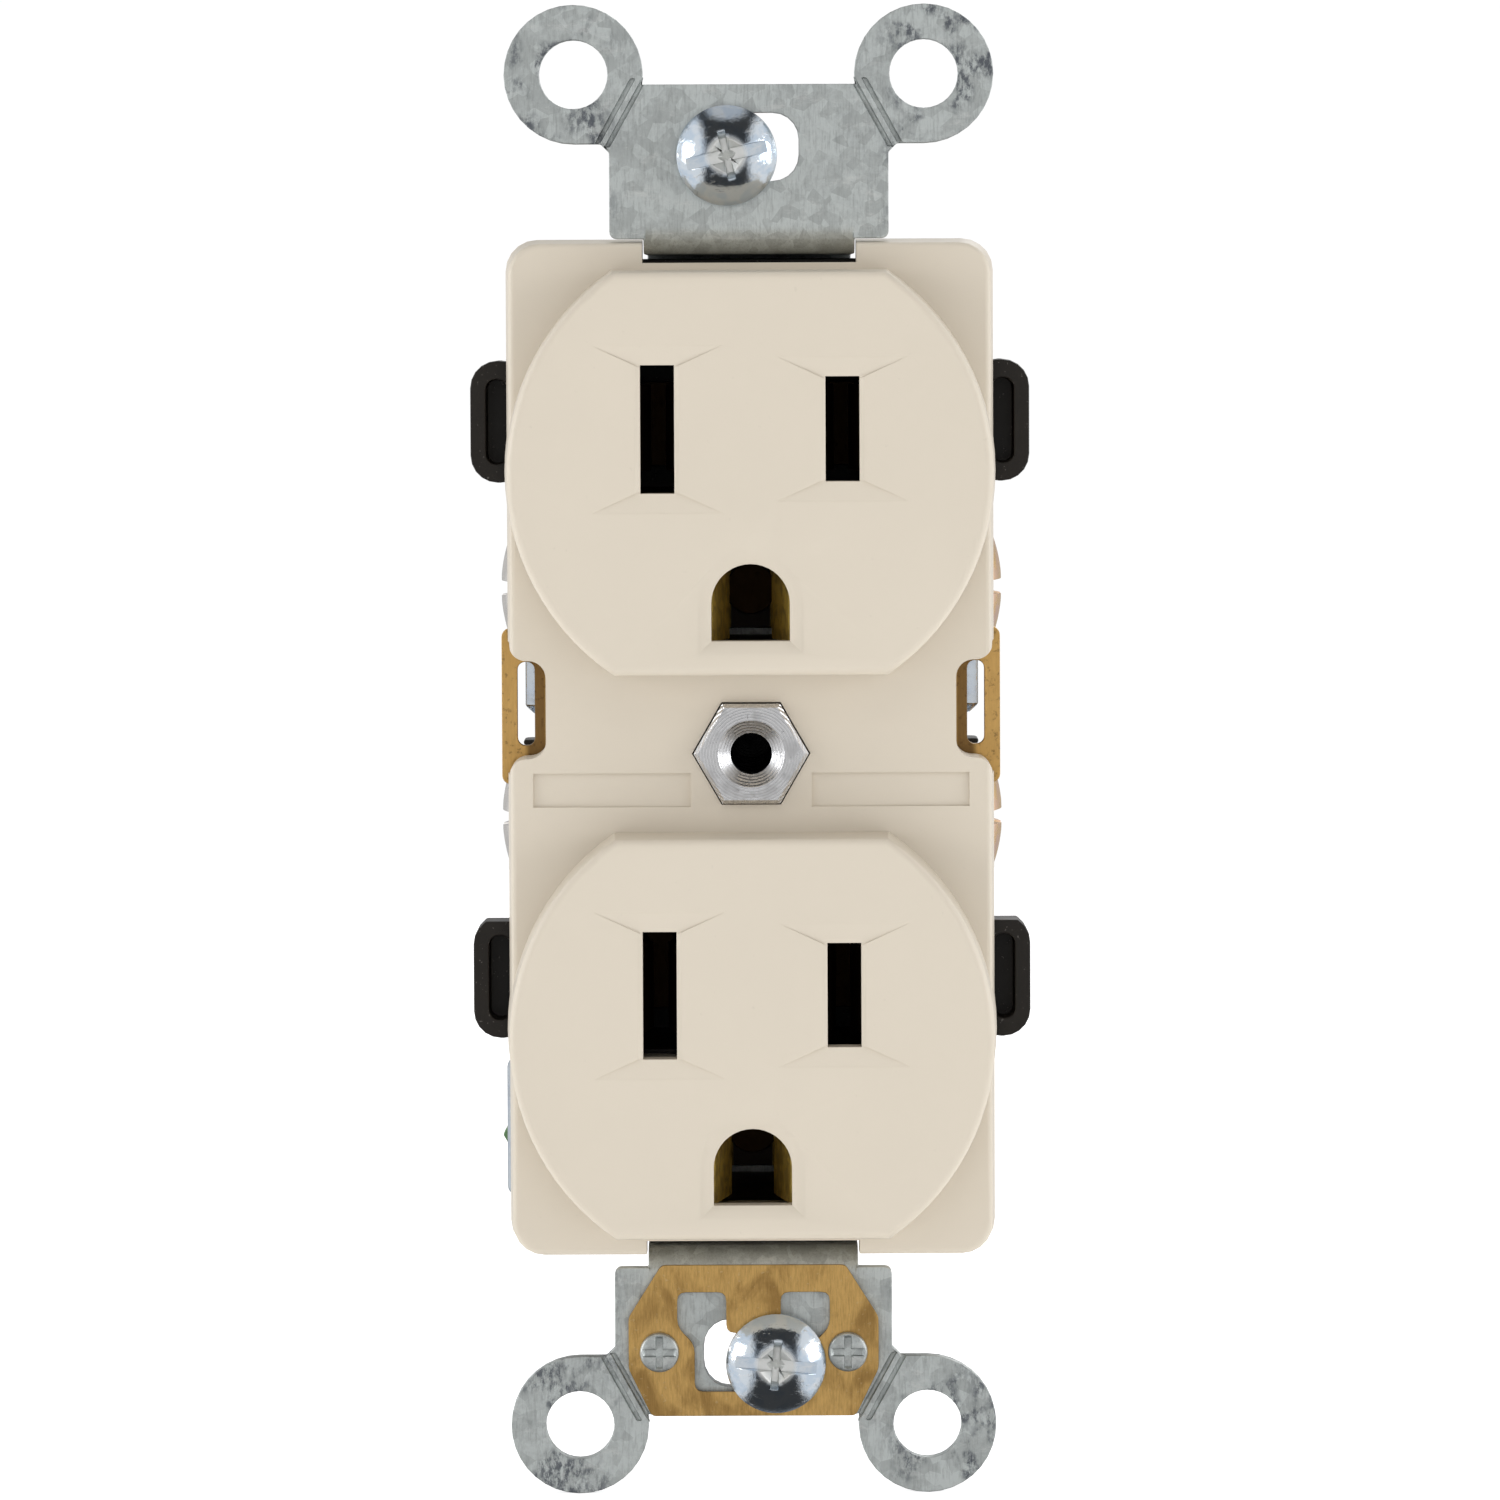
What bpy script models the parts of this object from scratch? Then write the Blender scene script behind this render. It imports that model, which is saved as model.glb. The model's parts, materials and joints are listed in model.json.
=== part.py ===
"""Duplex wall outlet: every piece of the device as its own solid.

Metres. +X is right, +Y goes into the wall and +Z is up. The plane y = 0 is the back of the strap's four
ears, where they rest on the wall, and the origin is on the centre post's axis. Pieces that turn or slide
have their origin on their own axis.
"""

import math

import bmesh
import bpy
from mathutils import Matrix, Vector

MM = 0.001
GAP = 0.3 * MM  # between pieces that touch
THREAD_GAP = 0.08 * MM  # round a screw's thread

# Strap: one band of steel from the upper ears, back round the body and up to the lower ears
STRAP_THICK = 1.3 * MM
STRAP_BEND = 1.35 * MM  # radius of the band's middle line
PLATE_HALF_WIDTH = 9.65 * MM
PLATE_FOOT = 35.55 * MM
PLATE_END = 46.2 * MM
PLATE_CORNER = 0.6 * MM  # small chamfer where an ear meets the plate
NECK_HALF_WIDTH = 7.3 * MM
NECK_TOP = 36.6 * MM
NECK_LAP = 0.1 * MM  # by which the plate laps over each side of the neck
NECK_NOTCH_GAP = 0.1 * MM
LOWER_PLATE_FOOT = 35.9 * MM
SHOULDER_RADIUS = 0.5 * MM
KEEPER_HALF = 2.75 * MM
KEEPER_CORNER = 1.2 * MM
EAR_X = 12.1 * MM
EAR_Z = 46.9 * MM
EAR_RADIUS = 4.8 * MM
EAR_HOLE_RADIUS = 2.37 * MM
SCREW_SLOT_Z = 41.88 * MM  # two of these are the 83.8 mm between a box's screw holes
SCREW_SLOT_LENGTH = 6.9 * MM
SCREW_SLOT_HEIGHT = 4.7 * MM
SCREW_SLOT_CORNER = 1.8 * MM
LUG_LEFT = -17.3 * MM
LUG_RIGHT = -6.0 * MM
LUG_HALF_HEIGHT = 4.1 * MM
SCORE_WIDTH = 0.35 * MM
SCORE_DEPTH = 0.3 * MM
SCORE_SPACING = 0.8 * MM
SCORE_TOP = (7.0 * MM, 46.6 * MM)
SCORE_FOOT = (9.6 * MM, 41.9 * MM)

# Cover and body
BODY_HALF_LENGTH = 34.2 * MM
BODY_HALF_WIDTH = 16.3 * MM
BODY_BACK = 21.0 * MM
COVER_BACK = 2.6 * MM
COVER_PLATEAU = -2.4 * MM
FACE_FRONT = -7.2 * MM
RIM_HALF_WIDTH = 16.95 * MM
RIM_HALF_LENGTH = 35.35 * MM
RIM_SHIFT = 0.2 * MM  # the rim sits this much above the middle of its two faces
RIM_DRAFT = 0.3 * MM
RIM_CORNER = 2.2 * MM
FACE_PITCH = 38.9 * MM
FACE_RADIUS = 17.1 * MM
FACE_FLAT = 14.15 * MM
FACE_DRAFT = 0.4 * MM
FACE_EDGE = 0.5 * MM
FACE_WALL = 2.2 * MM
NECK_SILL = 33.9 * MM
LABEL_PANEL = (4.2 * MM, 15.1 * MM, -3.7 * MM, -1.35 * MM)  # left, right, foot, top
LABEL_DEPTH = 0.25 * MM
POST_SEAT_DEPTH = 1.5 * MM
POST_SEAT_PLAY = 0.12 * MM
NOTCH_HALF = 3.4 * MM  # over the break-off tabs
NOTCH_INNER = 14.2 * MM
NOTCH_RADIUS = 1.2 * MM
WING_ZS = (22.9 * MM, -16.0 * MM)
WING_HALF = 4.25 * MM
WING_INNER = 15.5 * MM
WING_OUTER = 19.5 * MM
WING_CORNER = 1.9 * MM
WING_FRONT = 3.4 * MM
WING_BACK = 7.0 * MM
WING_POCKET_DEPTH = 2.4 * MM
SHELF = 17.5 * MM  # front of the shelves behind the terminals
CHAMBER_BACK = 18.6 * MM

# Holes for the plug, measured from the middle of each face
SLOT_RISE = 3.05 * MM
SLOT_X = 6.35 * MM
SLOT_WIDTH = 2.34 * MM
NEUTRAL_SLOT_HEIGHT = 8.8 * MM
HOT_SLOT_HEIGHT = 7.2 * MM
GROUND_DROP = 8.9 * MM
GROUND_RADIUS = 2.7 * MM
GROUND_FOOT = 2.6 * MM
FUNNEL_DEPTH = 0.5 * MM
FUNNEL_SPREAD = 1.7  # share by which the ground hole's chamfer widens, one depth before the face

# Terminals, measured from the middle of the break-off tabs
TAB_Z = 3.05 * MM
TERMINAL_RISE = 8.1 * MM
TERMINAL_Y = 9.5 * MM
BAR_INNER = 13.2 * MM
BAR_OUTER = 14.1 * MM
BAR_FRONT = 3.2 * MM
BAR_BACK = 16.4 * MM
TAB_REACH = 17.4 * MM
WIRE_SLOT_RADIUS = 1.15 * MM
WIRE_OFFSET = 3.4 * MM
CLAMP_THICK = 1.4 * MM
CLAMP_HALF = 4.2 * MM
CLAMP_TAIL = 8.9 * MM
CLAMP_TAIL_HALF = 1.9 * MM
HOT_CLAMP_GAP = 0.5 * MM
NEUTRAL_CLAMP_GAP = 0.37 * MM

# Centre post
POST_FRONT = -3.2 * MM
POST_ACROSS_FLATS = 6.9 * MM
POST_SHANK_RADIUS = 2.6 * MM
POST_BORE_RADIUS = 1.45 * MM
POST_BORE_DEPTH = 20.0 * MM

# Screws
TERMINAL_SCREW_RADIUS = 2.0 * MM
SCREW_ROOM_RADIUS = 2.35 * MM
TERMINAL_HEAD_RADIUS = 3.9 * MM
TERMINAL_HEAD_RIM = 0.7 * MM
TERMINAL_HEAD_RISE = 0.75 * MM
GROUND_HEAD_HEIGHT = 2.6 * MM
MOUNTING_SCREW_RADIUS = 1.7 * MM
MOUNTING_SCREW_LENGTH = 19.0 * MM
MOUNTING_HEAD_RADIUS = 3.48 * MM
MOUNTING_HEAD_HEIGHT = 2.1 * MM
GROUND_SCREW_X = -13.6 * MM
GROUND_SCREW_Z = -29.3 * MM
GROUND_HEX_RADIUS = 4.56 * MM

# Earthing clip and rivets
CLIP_THICK = 0.4 * MM
CLIP_RIVET_X = 6.55 * MM
CLIP_RIVET_Z = -41.7 * MM
CLIP_RIVET_HOLE = 0.9 * MM
CLIP_RIVET_HEAD = 0.55 * MM
GROUND_RIVET_HOLE = 1.25 * MM

STRAP_FRONT = -STRAP_THICK
STRAP_REAR = BODY_BACK + GAP + STRAP_THICK
POST_HOLE_RADIUS = POST_SHANK_RADIUS + 0.2 * MM
FACES = (FACE_PITCH / 2, -FACE_PITCH / 2)
SLOT_ZS = tuple(z + SLOT_RISE for z in FACES)
GROUND_ZS = tuple(z - GROUND_DROP for z in FACES)
TERMINAL_ZS = (TAB_Z + TERMINAL_RISE, TAB_Z - TERMINAL_RISE)
SIDES = (-1, 1)
STEPS = 8  # straight runs in a quarter turn of a small arc

# A curve's own plane, turned into the plane named
PLANES = {
    "XY": Matrix.Identity(4),
    "XZ": Matrix(((1, 0, 0, 0), (0, 0, -1, 0), (0, 1, 0, 0), (0, 0, 0, 1))),
    "YZ": Matrix(((0, 0, 1, 0), (1, 0, 0, 0), (0, 1, 0, 0), (0, 0, 0, 1))),
}


def new_collection(name):
    made = bpy.data.collections.new(name)
    bpy.context.scene.collection.children.link(made)
    return made


for old in list(bpy.data.objects):
    bpy.data.objects.remove(old, do_unlink=True)
PARTS = new_collection("duplex_outlet")
CUTTERS = new_collection("cutters")


def new_material(name, colour, roughness, metallic):
    made = bpy.data.materials.new(name)
    made.use_nodes = True
    shader = made.node_tree.nodes["Principled BSDF"]
    shader.inputs["Base Color"].default_value = (*colour, 1)
    shader.inputs["Roughness"].default_value = roughness
    shader.inputs["Metallic"].default_value = metallic
    return made


IVORY = new_material("ivory_plastic", (0.72, 0.66, 0.53), 0.35, 0)
BLACK = new_material("black_plastic", (0.012, 0.011, 0.010), 0.3, 0)
GALVANISED = new_material("galvanised_steel", (0.42, 0.44, 0.46), 0.45, 1)
ZINC = new_material("zinc_plated_steel", (0.62, 0.64, 0.66), 0.22, 1)
BRASS = new_material("brass", (0.52, 0.35, 0.13), 0.35, 1)
NICKEL = new_material("nickel_plated_brass", (0.66, 0.63, 0.58), 0.25, 1)
ALUMINIUM = new_material("aluminium", (0.66, 0.66, 0.67), 0.35, 1)
GREEN = new_material("green_passivated_steel", (0.16, 0.27, 0.14), 0.4, 0.8)
FIBRE = new_material("fibre", (0.33, 0.10, 0.06), 0.8, 0)


# ---------------------------------------------------------------- solids


def new_solid(name, bm):
    """A mesh object in the parts collection, from a bmesh in world coordinates."""
    bmesh.ops.recalc_face_normals(bm, faces=bm.faces)
    mesh = bpy.data.meshes.new(name)
    bm.to_mesh(mesh)
    bm.free()
    made = bpy.data.objects.new(name, mesh)
    PARTS.objects.link(made)
    return made


def box(name, low, high):
    low, high = Vector(low), Vector(high)
    bm = bmesh.new()
    place = Matrix.Translation((low + high) / 2) @ Matrix.Diagonal((*(high - low), 1))
    bmesh.ops.create_cube(bm, size=1, matrix=place)
    return new_solid(name, bm)


def tapered_box(name, front, front_size, back, back_size):
    """A box between two rectangles at different depths, each given by its middle and its (x, z) size."""
    bm = bmesh.new()
    bmesh.ops.create_cube(bm, size=1)
    for vert in bm.verts:
        middle, size = (front, front_size) if vert.co.y < 0 else (back, back_size)
        vert.co = Vector(middle) + Vector((vert.co.x * size[0], 0, vert.co.z * size[1]))
    return new_solid(name, bm)


def rod(name, start, end, radius, end_radius=None, segments=32):
    """A cylinder, or a cone where the two radii differ."""
    start, end = Vector(start), Vector(end)
    along = end - start
    turn = Vector((0, 0, 1)).rotation_difference(along).to_matrix().to_4x4()
    bm = bmesh.new()
    bmesh.ops.create_cone(
        bm,
        cap_ends=True,
        segments=segments,
        radius1=radius,
        radius2=radius if end_radius is None else end_radius,
        depth=along.length,
        matrix=Matrix.Translation((start + end) / 2) @ turn,
    )
    return new_solid(name, bm)


def prism(name, outlines, plane, start, end):
    """A flat outline, with any holes, made into a solid between two planes square to the third axis."""
    curve = bpy.data.curves.new(name, "CURVE")
    curve.dimensions = "2D"
    curve.fill_mode = "BOTH"
    curve.extrude = abs(end - start) / 2
    for outline in outlines:
        spline = curve.splines.new("POLY")
        spline.points.add(len(outline) - 1)
        for point, (across, up) in zip(spline.points, outline):
            point.co = (across, up, 0, 1)
        spline.use_cyclic_u = True
    guide = bpy.data.objects.new(name + "_outline", curve)
    PARTS.objects.link(guide)
    normal_axis = PLANES[plane].to_3x3().col[2]
    middle = Vector([abs(part) for part in normal_axis]) * (start + end) / 2
    guide.matrix_world = Matrix.Translation(middle) @ PLANES[plane]
    evaluated = guide.evaluated_get(bpy.context.evaluated_depsgraph_get())
    mesh = bpy.data.meshes.new_from_object(evaluated)
    bm = bmesh.new()
    bm.from_mesh(mesh)
    bm.transform(guide.matrix_world)
    bmesh.ops.remove_doubles(bm, verts=bm.verts, dist=0.001 * MM)
    bmesh.ops.dissolve_limit(bm, angle_limit=math.radians(0.5), verts=bm.verts, edges=bm.edges)
    bpy.data.objects.remove(guide)
    bpy.data.curves.remove(curve)
    bpy.data.meshes.remove(mesh)
    return new_solid(name, bm)


def turned(name, profile, place, direction, steps=32):
    """A turned solid. The profile runs from the top of its axis, down its outer side, to the bottom."""
    mesh = bpy.data.meshes.new(name)
    points = [(radius, 0, height) for radius, height in profile]
    mesh.from_pydata(points, [(i, i + 1) for i in range(len(points) - 1)], [])
    made = bpy.data.objects.new(name, mesh)
    PARTS.objects.link(made)
    made.location = place
    made.rotation_mode = "QUATERNION"
    made.rotation_quaternion = Vector((0, 0, 1)).rotation_difference(Vector(direction))
    spin = made.modifiers.new("turn", "SCREW")
    spin.steps = spin.render_steps = steps
    spin.use_merge_vertices = True
    spin.merge_threshold = 0.001 * MM
    return made


def round_edges(obj, radius, depth, segments=3):
    """Rounds the edges that lie at one depth along Y."""
    bm = bmesh.new()
    bm.from_mesh(obj.data)
    edges = [e for e in bm.edges if all(abs(v.co.y - depth) < 0.01 * MM for v in e.verts)]
    bmesh.ops.bevel(bm, geom=edges, offset=radius, segments=segments, profile=0.5, affect="EDGES")
    bm.to_mesh(obj.data)
    bm.free()


def draft(obj, middle_z, share_x, share_z, depth):
    """Draws in the points at one depth along Y, as moulding draft does."""
    for vert in obj.data.vertices:
        if abs(vert.co.y - depth) < 0.01 * MM:
            vert.co.x *= share_x
            vert.co.z = middle_z + (vert.co.z - middle_z) * share_z


def as_cutter(obj):
    PARTS.objects.unlink(obj)
    CUTTERS.objects.link(obj)
    obj.hide_render = True
    obj.display_type = "WIRE"
    return obj


def combine(target, operation, others):
    for other in others:
        modifier = target.modifiers.new(other.name, "BOOLEAN")
        modifier.operation = operation
        modifier.object = as_cutter(other)


def join(target, *others):
    combine(target, "UNION", others)


def cut(target, *others):
    combine(target, "DIFFERENCE", others)


def set_origin(obj, place):
    obj.data.transform(Matrix.Translation(-Vector(place)))
    obj.location = place


# ---------------------------------------------------------------- outlines


def arc(across, up, radius, start, end, steps=STEPS):
    """Points on an arc about (across, up), from start to end in degrees."""
    turns = (math.radians(start + (end - start) * i / steps) for i in range(steps + 1))
    return [(across + radius * math.cos(t), up + radius * math.sin(t)) for t in turns]


def circle(across, up, radius, steps=32):
    return arc(across, up, radius, 0, 360, steps)[:-1]


def rounded_rectangle(left, right, foot, top, radius, steps=5):
    return (
        arc(right - radius, top - radius, radius, 0, 90, steps)
        + arc(left + radius, top - radius, radius, 90, 180, steps)
        + arc(left + radius, foot + radius, radius, 180, 270, steps)
        + arc(right - radius, foot + radius, radius, 270, 360, steps)
    )


def rectangle(left, right, foot, top):
    return [(left, foot), (right, foot), (right, top), (left, top)]


def block(across, up, half_wide, half_high):
    return rectangle(across - half_wide, across + half_wide, up - half_high, up + half_high)


def hexagon(across, up, radius):
    return circle(across, up, radius, 6)


def flipped(outline, across=1, up=1):
    """The outline mirrored, where across or up is -1, and run the other way."""
    return [(u * across, v * up) for u, v in reversed(outline)]


def softened(outline, radius, steps=3):
    """The outline with each corner eased into a small curve."""
    made = []
    for number, point in enumerate(outline):
        corner = Vector(point)
        before = Vector(outline[number - 1]) - corner
        after = Vector(outline[(number + 1) % len(outline)]) - corner
        start = corner + before.normalized() * min(radius, before.length * 0.45)
        end = corner + after.normalized() * min(radius, after.length * 0.45)
        for step in range(steps + 1):
            share = step / steps
            eased = start.lerp(corner, share).lerp(corner.lerp(end, share), share)
            made.append(tuple(eased))
    return made


def bent_strip(corners, bend, thickness, steps=6):
    """Outline of a strip whose middle line runs through the corners, each rounded to the radius bend."""
    corners = [Vector(corner) for corner in corners]
    headings = [(b - a).normalized() for a, b in zip(corners, corners[1:])]
    normals = [Vector((-d.y, d.x)) for d in headings]
    middle = [(corners[0], normals[0])]
    for corner, d_in, d_out, normal in zip(corners[1:], headings, headings[1:], normals):
        turn = math.atan2(d_in.cross(d_out), d_in.dot(d_out))
        side = math.copysign(1, turn)
        start = corner - d_in * bend * math.tan(abs(turn) / 2)
        centre = start + normal * side * bend
        for i in range(steps + 1):
            here = normal.copy()
            here.rotate(Matrix.Rotation(turn * i / steps, 2))
            middle.append((centre - here * side * bend, here))
    middle.append((corners[-1], normals[-1]))
    left = [tuple(point + normal * thickness / 2) for point, normal in middle]
    right = [tuple(point - normal * thickness / 2) for point, normal in middle]
    return left + right[::-1]


# ---------------------------------------------------------------- strap, clip and post


def plate_outline(foot):
    """The upper plate with its two ears, down to where the neck leaves it."""
    meet = PLATE_END - EAR_Z
    start = 180 + math.degrees(math.asin(-meet / EAR_RADIUS))
    neck_side = NECK_HALF_WIDTH - NECK_LAP
    right = (
        arc(EAR_X, EAR_Z, EAR_RADIUS, start, -90, 28)
        + [(PLATE_HALF_WIDTH + PLATE_CORNER, EAR_Z - EAR_RADIUS)]
        + [(PLATE_HALF_WIDTH, EAR_Z - EAR_RADIUS - PLATE_CORNER)]
        + arc(PLATE_HALF_WIDTH - SHOULDER_RADIUS, foot + SHOULDER_RADIUS, SHOULDER_RADIUS, 0, -90, 4)
        + [(neck_side, foot), (neck_side, NECK_TOP)]
    )
    return right + flipped(right, across=-1)


def score_lines():
    """Pairs of narrow grooves between the plate and its ears, where an ear snaps off."""
    lines = []
    for side in SIDES:
        for up in SIDES:
            for shift in (0, SCORE_SPACING):
                top_left, top = SCORE_TOP[0] + shift, SCORE_TOP[1]
                foot_left, foot = SCORE_FOOT[0] + shift, SCORE_FOOT[1]
                line = [(top_left, top), (foot_left, foot)]
                line += [(foot_left + SCORE_WIDTH, foot), (top_left + SCORE_WIDTH, top)]
                lines.append([(x * side, z * up) for x, z in line])
    return lines


def make_strap():
    holes = [circle(side * EAR_X, EAR_Z, EAR_HOLE_RADIUS) for side in SIDES]
    half_long, half_high = SCREW_SLOT_LENGTH / 2, SCREW_SLOT_HEIGHT / 2
    slot = (-half_long, half_long, SCREW_SLOT_Z - half_high, SCREW_SLOT_Z + half_high)
    holes.append(rounded_rectangle(*slot, SCREW_SLOT_CORNER))
    upper = [plate_outline(PLATE_FOOT)] + holes
    lower = [flipped(outline, up=-1) for outline in [plate_outline(LOWER_PLATE_FOOT)] + holes]
    lower += [circle(side * CLIP_RIVET_X, CLIP_RIVET_Z, CLIP_RIVET_HOLE, 16) for side in SIDES]
    mid_front = STRAP_FRONT / 2
    mid_rear = STRAP_REAR - STRAP_THICK / 2
    mid_leg = BODY_HALF_LENGTH + GAP + STRAP_THICK / 2
    lap = NECK_TOP + 1.0 * MM
    route = [(mid_front, lap), (mid_front, mid_leg), (mid_rear, mid_leg)]
    route += [(mid_rear, -mid_leg), (mid_front, -mid_leg), (mid_front, -lap)]
    band = bent_strip(route, STRAP_BEND, STRAP_THICK)
    strap = prism("mounting_strap", [band], "YZ", -NECK_HALF_WIDTH, NECK_HALF_WIDTH)
    lug_foot, lug_top = GROUND_SCREW_Z - LUG_HALF_HEIGHT, GROUND_SCREW_Z + LUG_HALF_HEIGHT
    lug = rounded_rectangle(LUG_LEFT, LUG_RIGHT, lug_foot, lug_top, 1.0 * MM)
    join(
        strap,
        prism("upper_plate", upper, "XZ", STRAP_FRONT, 0),
        prism("lower_plate", lower, "XZ", STRAP_FRONT, 0),
        prism("ground_lug", [lug], "XZ", STRAP_REAR - STRAP_THICK, STRAP_REAR),
    )
    rear_holes = [circle(0, 0, POST_HOLE_RADIUS)]
    rear_holes += [circle(0, z, GROUND_RIVET_HOLE, 20) for z in GROUND_ZS]
    rear_holes += [circle(GROUND_SCREW_X, GROUND_SCREW_Z, TERMINAL_SCREW_RADIUS + THREAD_GAP)]
    cut(
        strap,
        prism("strap_rear_holes", rear_holes, "XZ", STRAP_REAR - 2 * MM, STRAP_REAR + 1 * MM),
        prism("score_grooves", score_lines(), "XZ", STRAP_FRONT - 1 * MM, STRAP_FRONT + SCORE_DEPTH),
    )
    strap.data.materials.append(GALVANISED)


def make_clip():
    """Brass plate riveted to the lower plate. Its tongue presses on the mounting screw to earth it."""
    half = [(6.4, -35.65), (7.0, -36.6), (8.7, -39.3), (8.7, -42.9), (7.1, -46.2)]
    edge = [(x * MM, z * MM) for x, z in half]
    opening = [(1.9, -40.4), (1.9, -37.55), (5.3, -37.55), (5.3, -40.0), (4.1, -41.2), (4.1, -44.5)]
    window = [(x * MM, z * MM) for x, z in opening]
    outlines = [softened(edge + flipped(edge, across=-1), 0.3 * MM)]
    outlines.append(softened(window + flipped(window, across=-1), 0.6 * MM))
    outlines += [circle(side * CLIP_RIVET_X, CLIP_RIVET_Z, CLIP_RIVET_HOLE, 16) for side in SIDES]
    back = STRAP_FRONT - GAP
    clip = prism("self_ground_clip", outlines, "XZ", back - CLIP_THICK, back)
    clip.data.materials.append(BRASS)
    for side, word in zip(SIDES, ("left", "right")):
        make_clip_rivet("clip_rivet_" + word, side * CLIP_RIVET_X)


def make_clip_rivet(name, across):
    """A small rivet through clip and strap, its head staked with a cross."""
    clip_front = STRAP_FRONT - GAP - CLIP_THICK
    head = clip_front - 0.1 * MM
    outer, hole, tail = 1.37 * MM, 0.8 * MM, 1.3 * MM
    through, end = -2.2 * MM, -2.7 * MM
    profile = [(0, CLIP_RIVET_HEAD), (1.1 * MM, CLIP_RIVET_HEAD), (outer, 0.3 * MM), (outer, 0)]
    profile += [(hole, 0), (hole, through), (tail, through), (tail, end), (0, end)]
    rivet = turned(name, profile, (across, head, CLIP_RIVET_Z), (0, -1, 0), 20)
    top = head - CLIP_RIVET_HEAD
    long, short = 1.15 * MM, 0.22 * MM
    for turn, (wide, tall) in enumerate(((long, short), (short, long))):
        low = (across - wide, top - MM, CLIP_RIVET_Z - tall)
        high = (across + wide, top + 0.25 * MM, CLIP_RIVET_Z + tall)
        cut(rivet, box(f"{name}_stake_{turn}", low, high))
    rivet.data.materials.append(GALVANISED)


def make_post():
    """Hexagonal post that holds cover, body and strap together, and takes the wall plate's screw."""
    shank_start = COVER_PLATEAU + 1.2 * MM
    flare_start = STRAP_REAR + 0.15 * MM
    profile = [
        (0, flare_start + 1.1 * MM),
        (3.2 * MM, flare_start + 1.1 * MM),
        (3.7 * MM, flare_start + 0.6 * MM),
        (3.7 * MM, flare_start),
        (POST_SHANK_RADIUS, flare_start),
        (POST_SHANK_RADIUS, shank_start - 0.5 * MM),
        (0, shank_start - 0.5 * MM),
    ]
    post = turned("centre_post", profile, (0, 0, 0), (0, 1, 0))
    corner = POST_ACROSS_FLATS / math.sqrt(3)
    head = prism("post_hexagon", [hexagon(0, 0, corner)], "XZ", POST_FRONT, shank_start)
    round_edges(head, 0.25 * MM, POST_FRONT, 1)
    join(post, head)
    dish_start, dish_end = POST_FRONT - 0.3 * MM, POST_FRONT + 0.6 * MM
    dish = rod("post_dish", (0, dish_start, 0), (0, dish_end, 0), 2.75 * MM, POST_BORE_RADIUS)
    bore_end = POST_FRONT + POST_BORE_DEPTH
    bore = rod("post_bore", (0, POST_FRONT - MM, 0), (0, bore_end, 0), POST_BORE_RADIUS, segments=24)
    cut(post, dish, bore)
    post.data.materials.append(ALUMINIUM)


# ---------------------------------------------------------------- cover


def face_outline(middle):
    """A circle cut flat at the top and at the foot."""
    edge = math.degrees(math.asin(FACE_FLAT / FACE_RADIUS))
    right = arc(0, middle, FACE_RADIUS, -edge, edge, 28)
    return right + arc(0, middle, FACE_RADIUS, 180 - edge, 180 + edge, 28)


def ground_hole(middle):
    """Round at the top, square at the foot."""
    top = arc(0, middle, GROUND_RADIUS, 0, 180, 20)
    return top + [(-GROUND_RADIUS, middle - GROUND_FOOT), (GROUND_RADIUS, middle - GROUND_FOOT)]


def tab_notch():
    """The opening in the rim over a break-off tab, on the right."""
    half, inner, radius = NOTCH_HALF, NOTCH_INNER, NOTCH_RADIUS
    side = RIM_HALF_WIDTH - 0.2 * MM
    beyond = side + 2 * MM
    upper = (
        [(beyond, TAB_Z + half + radius)]
        + arc(side - radius, TAB_Z + half + radius, radius, 0, -90)
        + arc(inner + radius, TAB_Z + half - radius, radius, 90, 180)
    )
    lower = [(x, 2 * TAB_Z - z) for x, z in reversed(upper)]
    return upper + lower


def cut_plug_holes(cover):
    """The six plug holes, their funnels, and the pockets behind them for the contacts."""
    holes = []
    pockets = []
    for slot_z in SLOT_ZS:
        for side, height in zip(SIDES, (NEUTRAL_SLOT_HEIGHT, HOT_SLOT_HEIGHT)):
            holes.append(block(side * SLOT_X, slot_z, SLOT_WIDTH / 2, height / 2))
            pockets.append(block(side * SLOT_X, slot_z, 2.6 * MM, 4.9 * MM))
    for ground_z in GROUND_ZS:
        holes.append(ground_hole(ground_z))
        pockets.append(block(0, ground_z, 3.45 * MM, 3.3 * MM))
    inside = FACE_FRONT + FACE_WALL
    cut(
        cover,
        prism("plug_holes", holes, "XZ", FACE_FRONT - MM, inside + MM),
        prism("contact_pockets", pockets, "XZ", inside, COVER_BACK + MM),
    )
    for number, slot_z in enumerate(SLOT_ZS):
        for side, height in zip(SIDES, (NEUTRAL_SLOT_HEIGHT, HOT_SLOT_HEIGHT)):
            cut_slot_lead(cover, f"slot_lead_{number}_{side}", side * SLOT_X, slot_z, height)
    before, behind = FACE_FRONT - FUNNEL_DEPTH, FACE_FRONT + FUNNEL_DEPTH
    for number, ground_z in enumerate(GROUND_ZS):
        funnel = prism(f"ground_funnel_{number}", [ground_hole(ground_z)], "XZ", before, behind)
        draft(funnel, ground_z, FUNNEL_SPREAD, FUNNEL_SPREAD, before)
        cut(cover, funnel)


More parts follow.
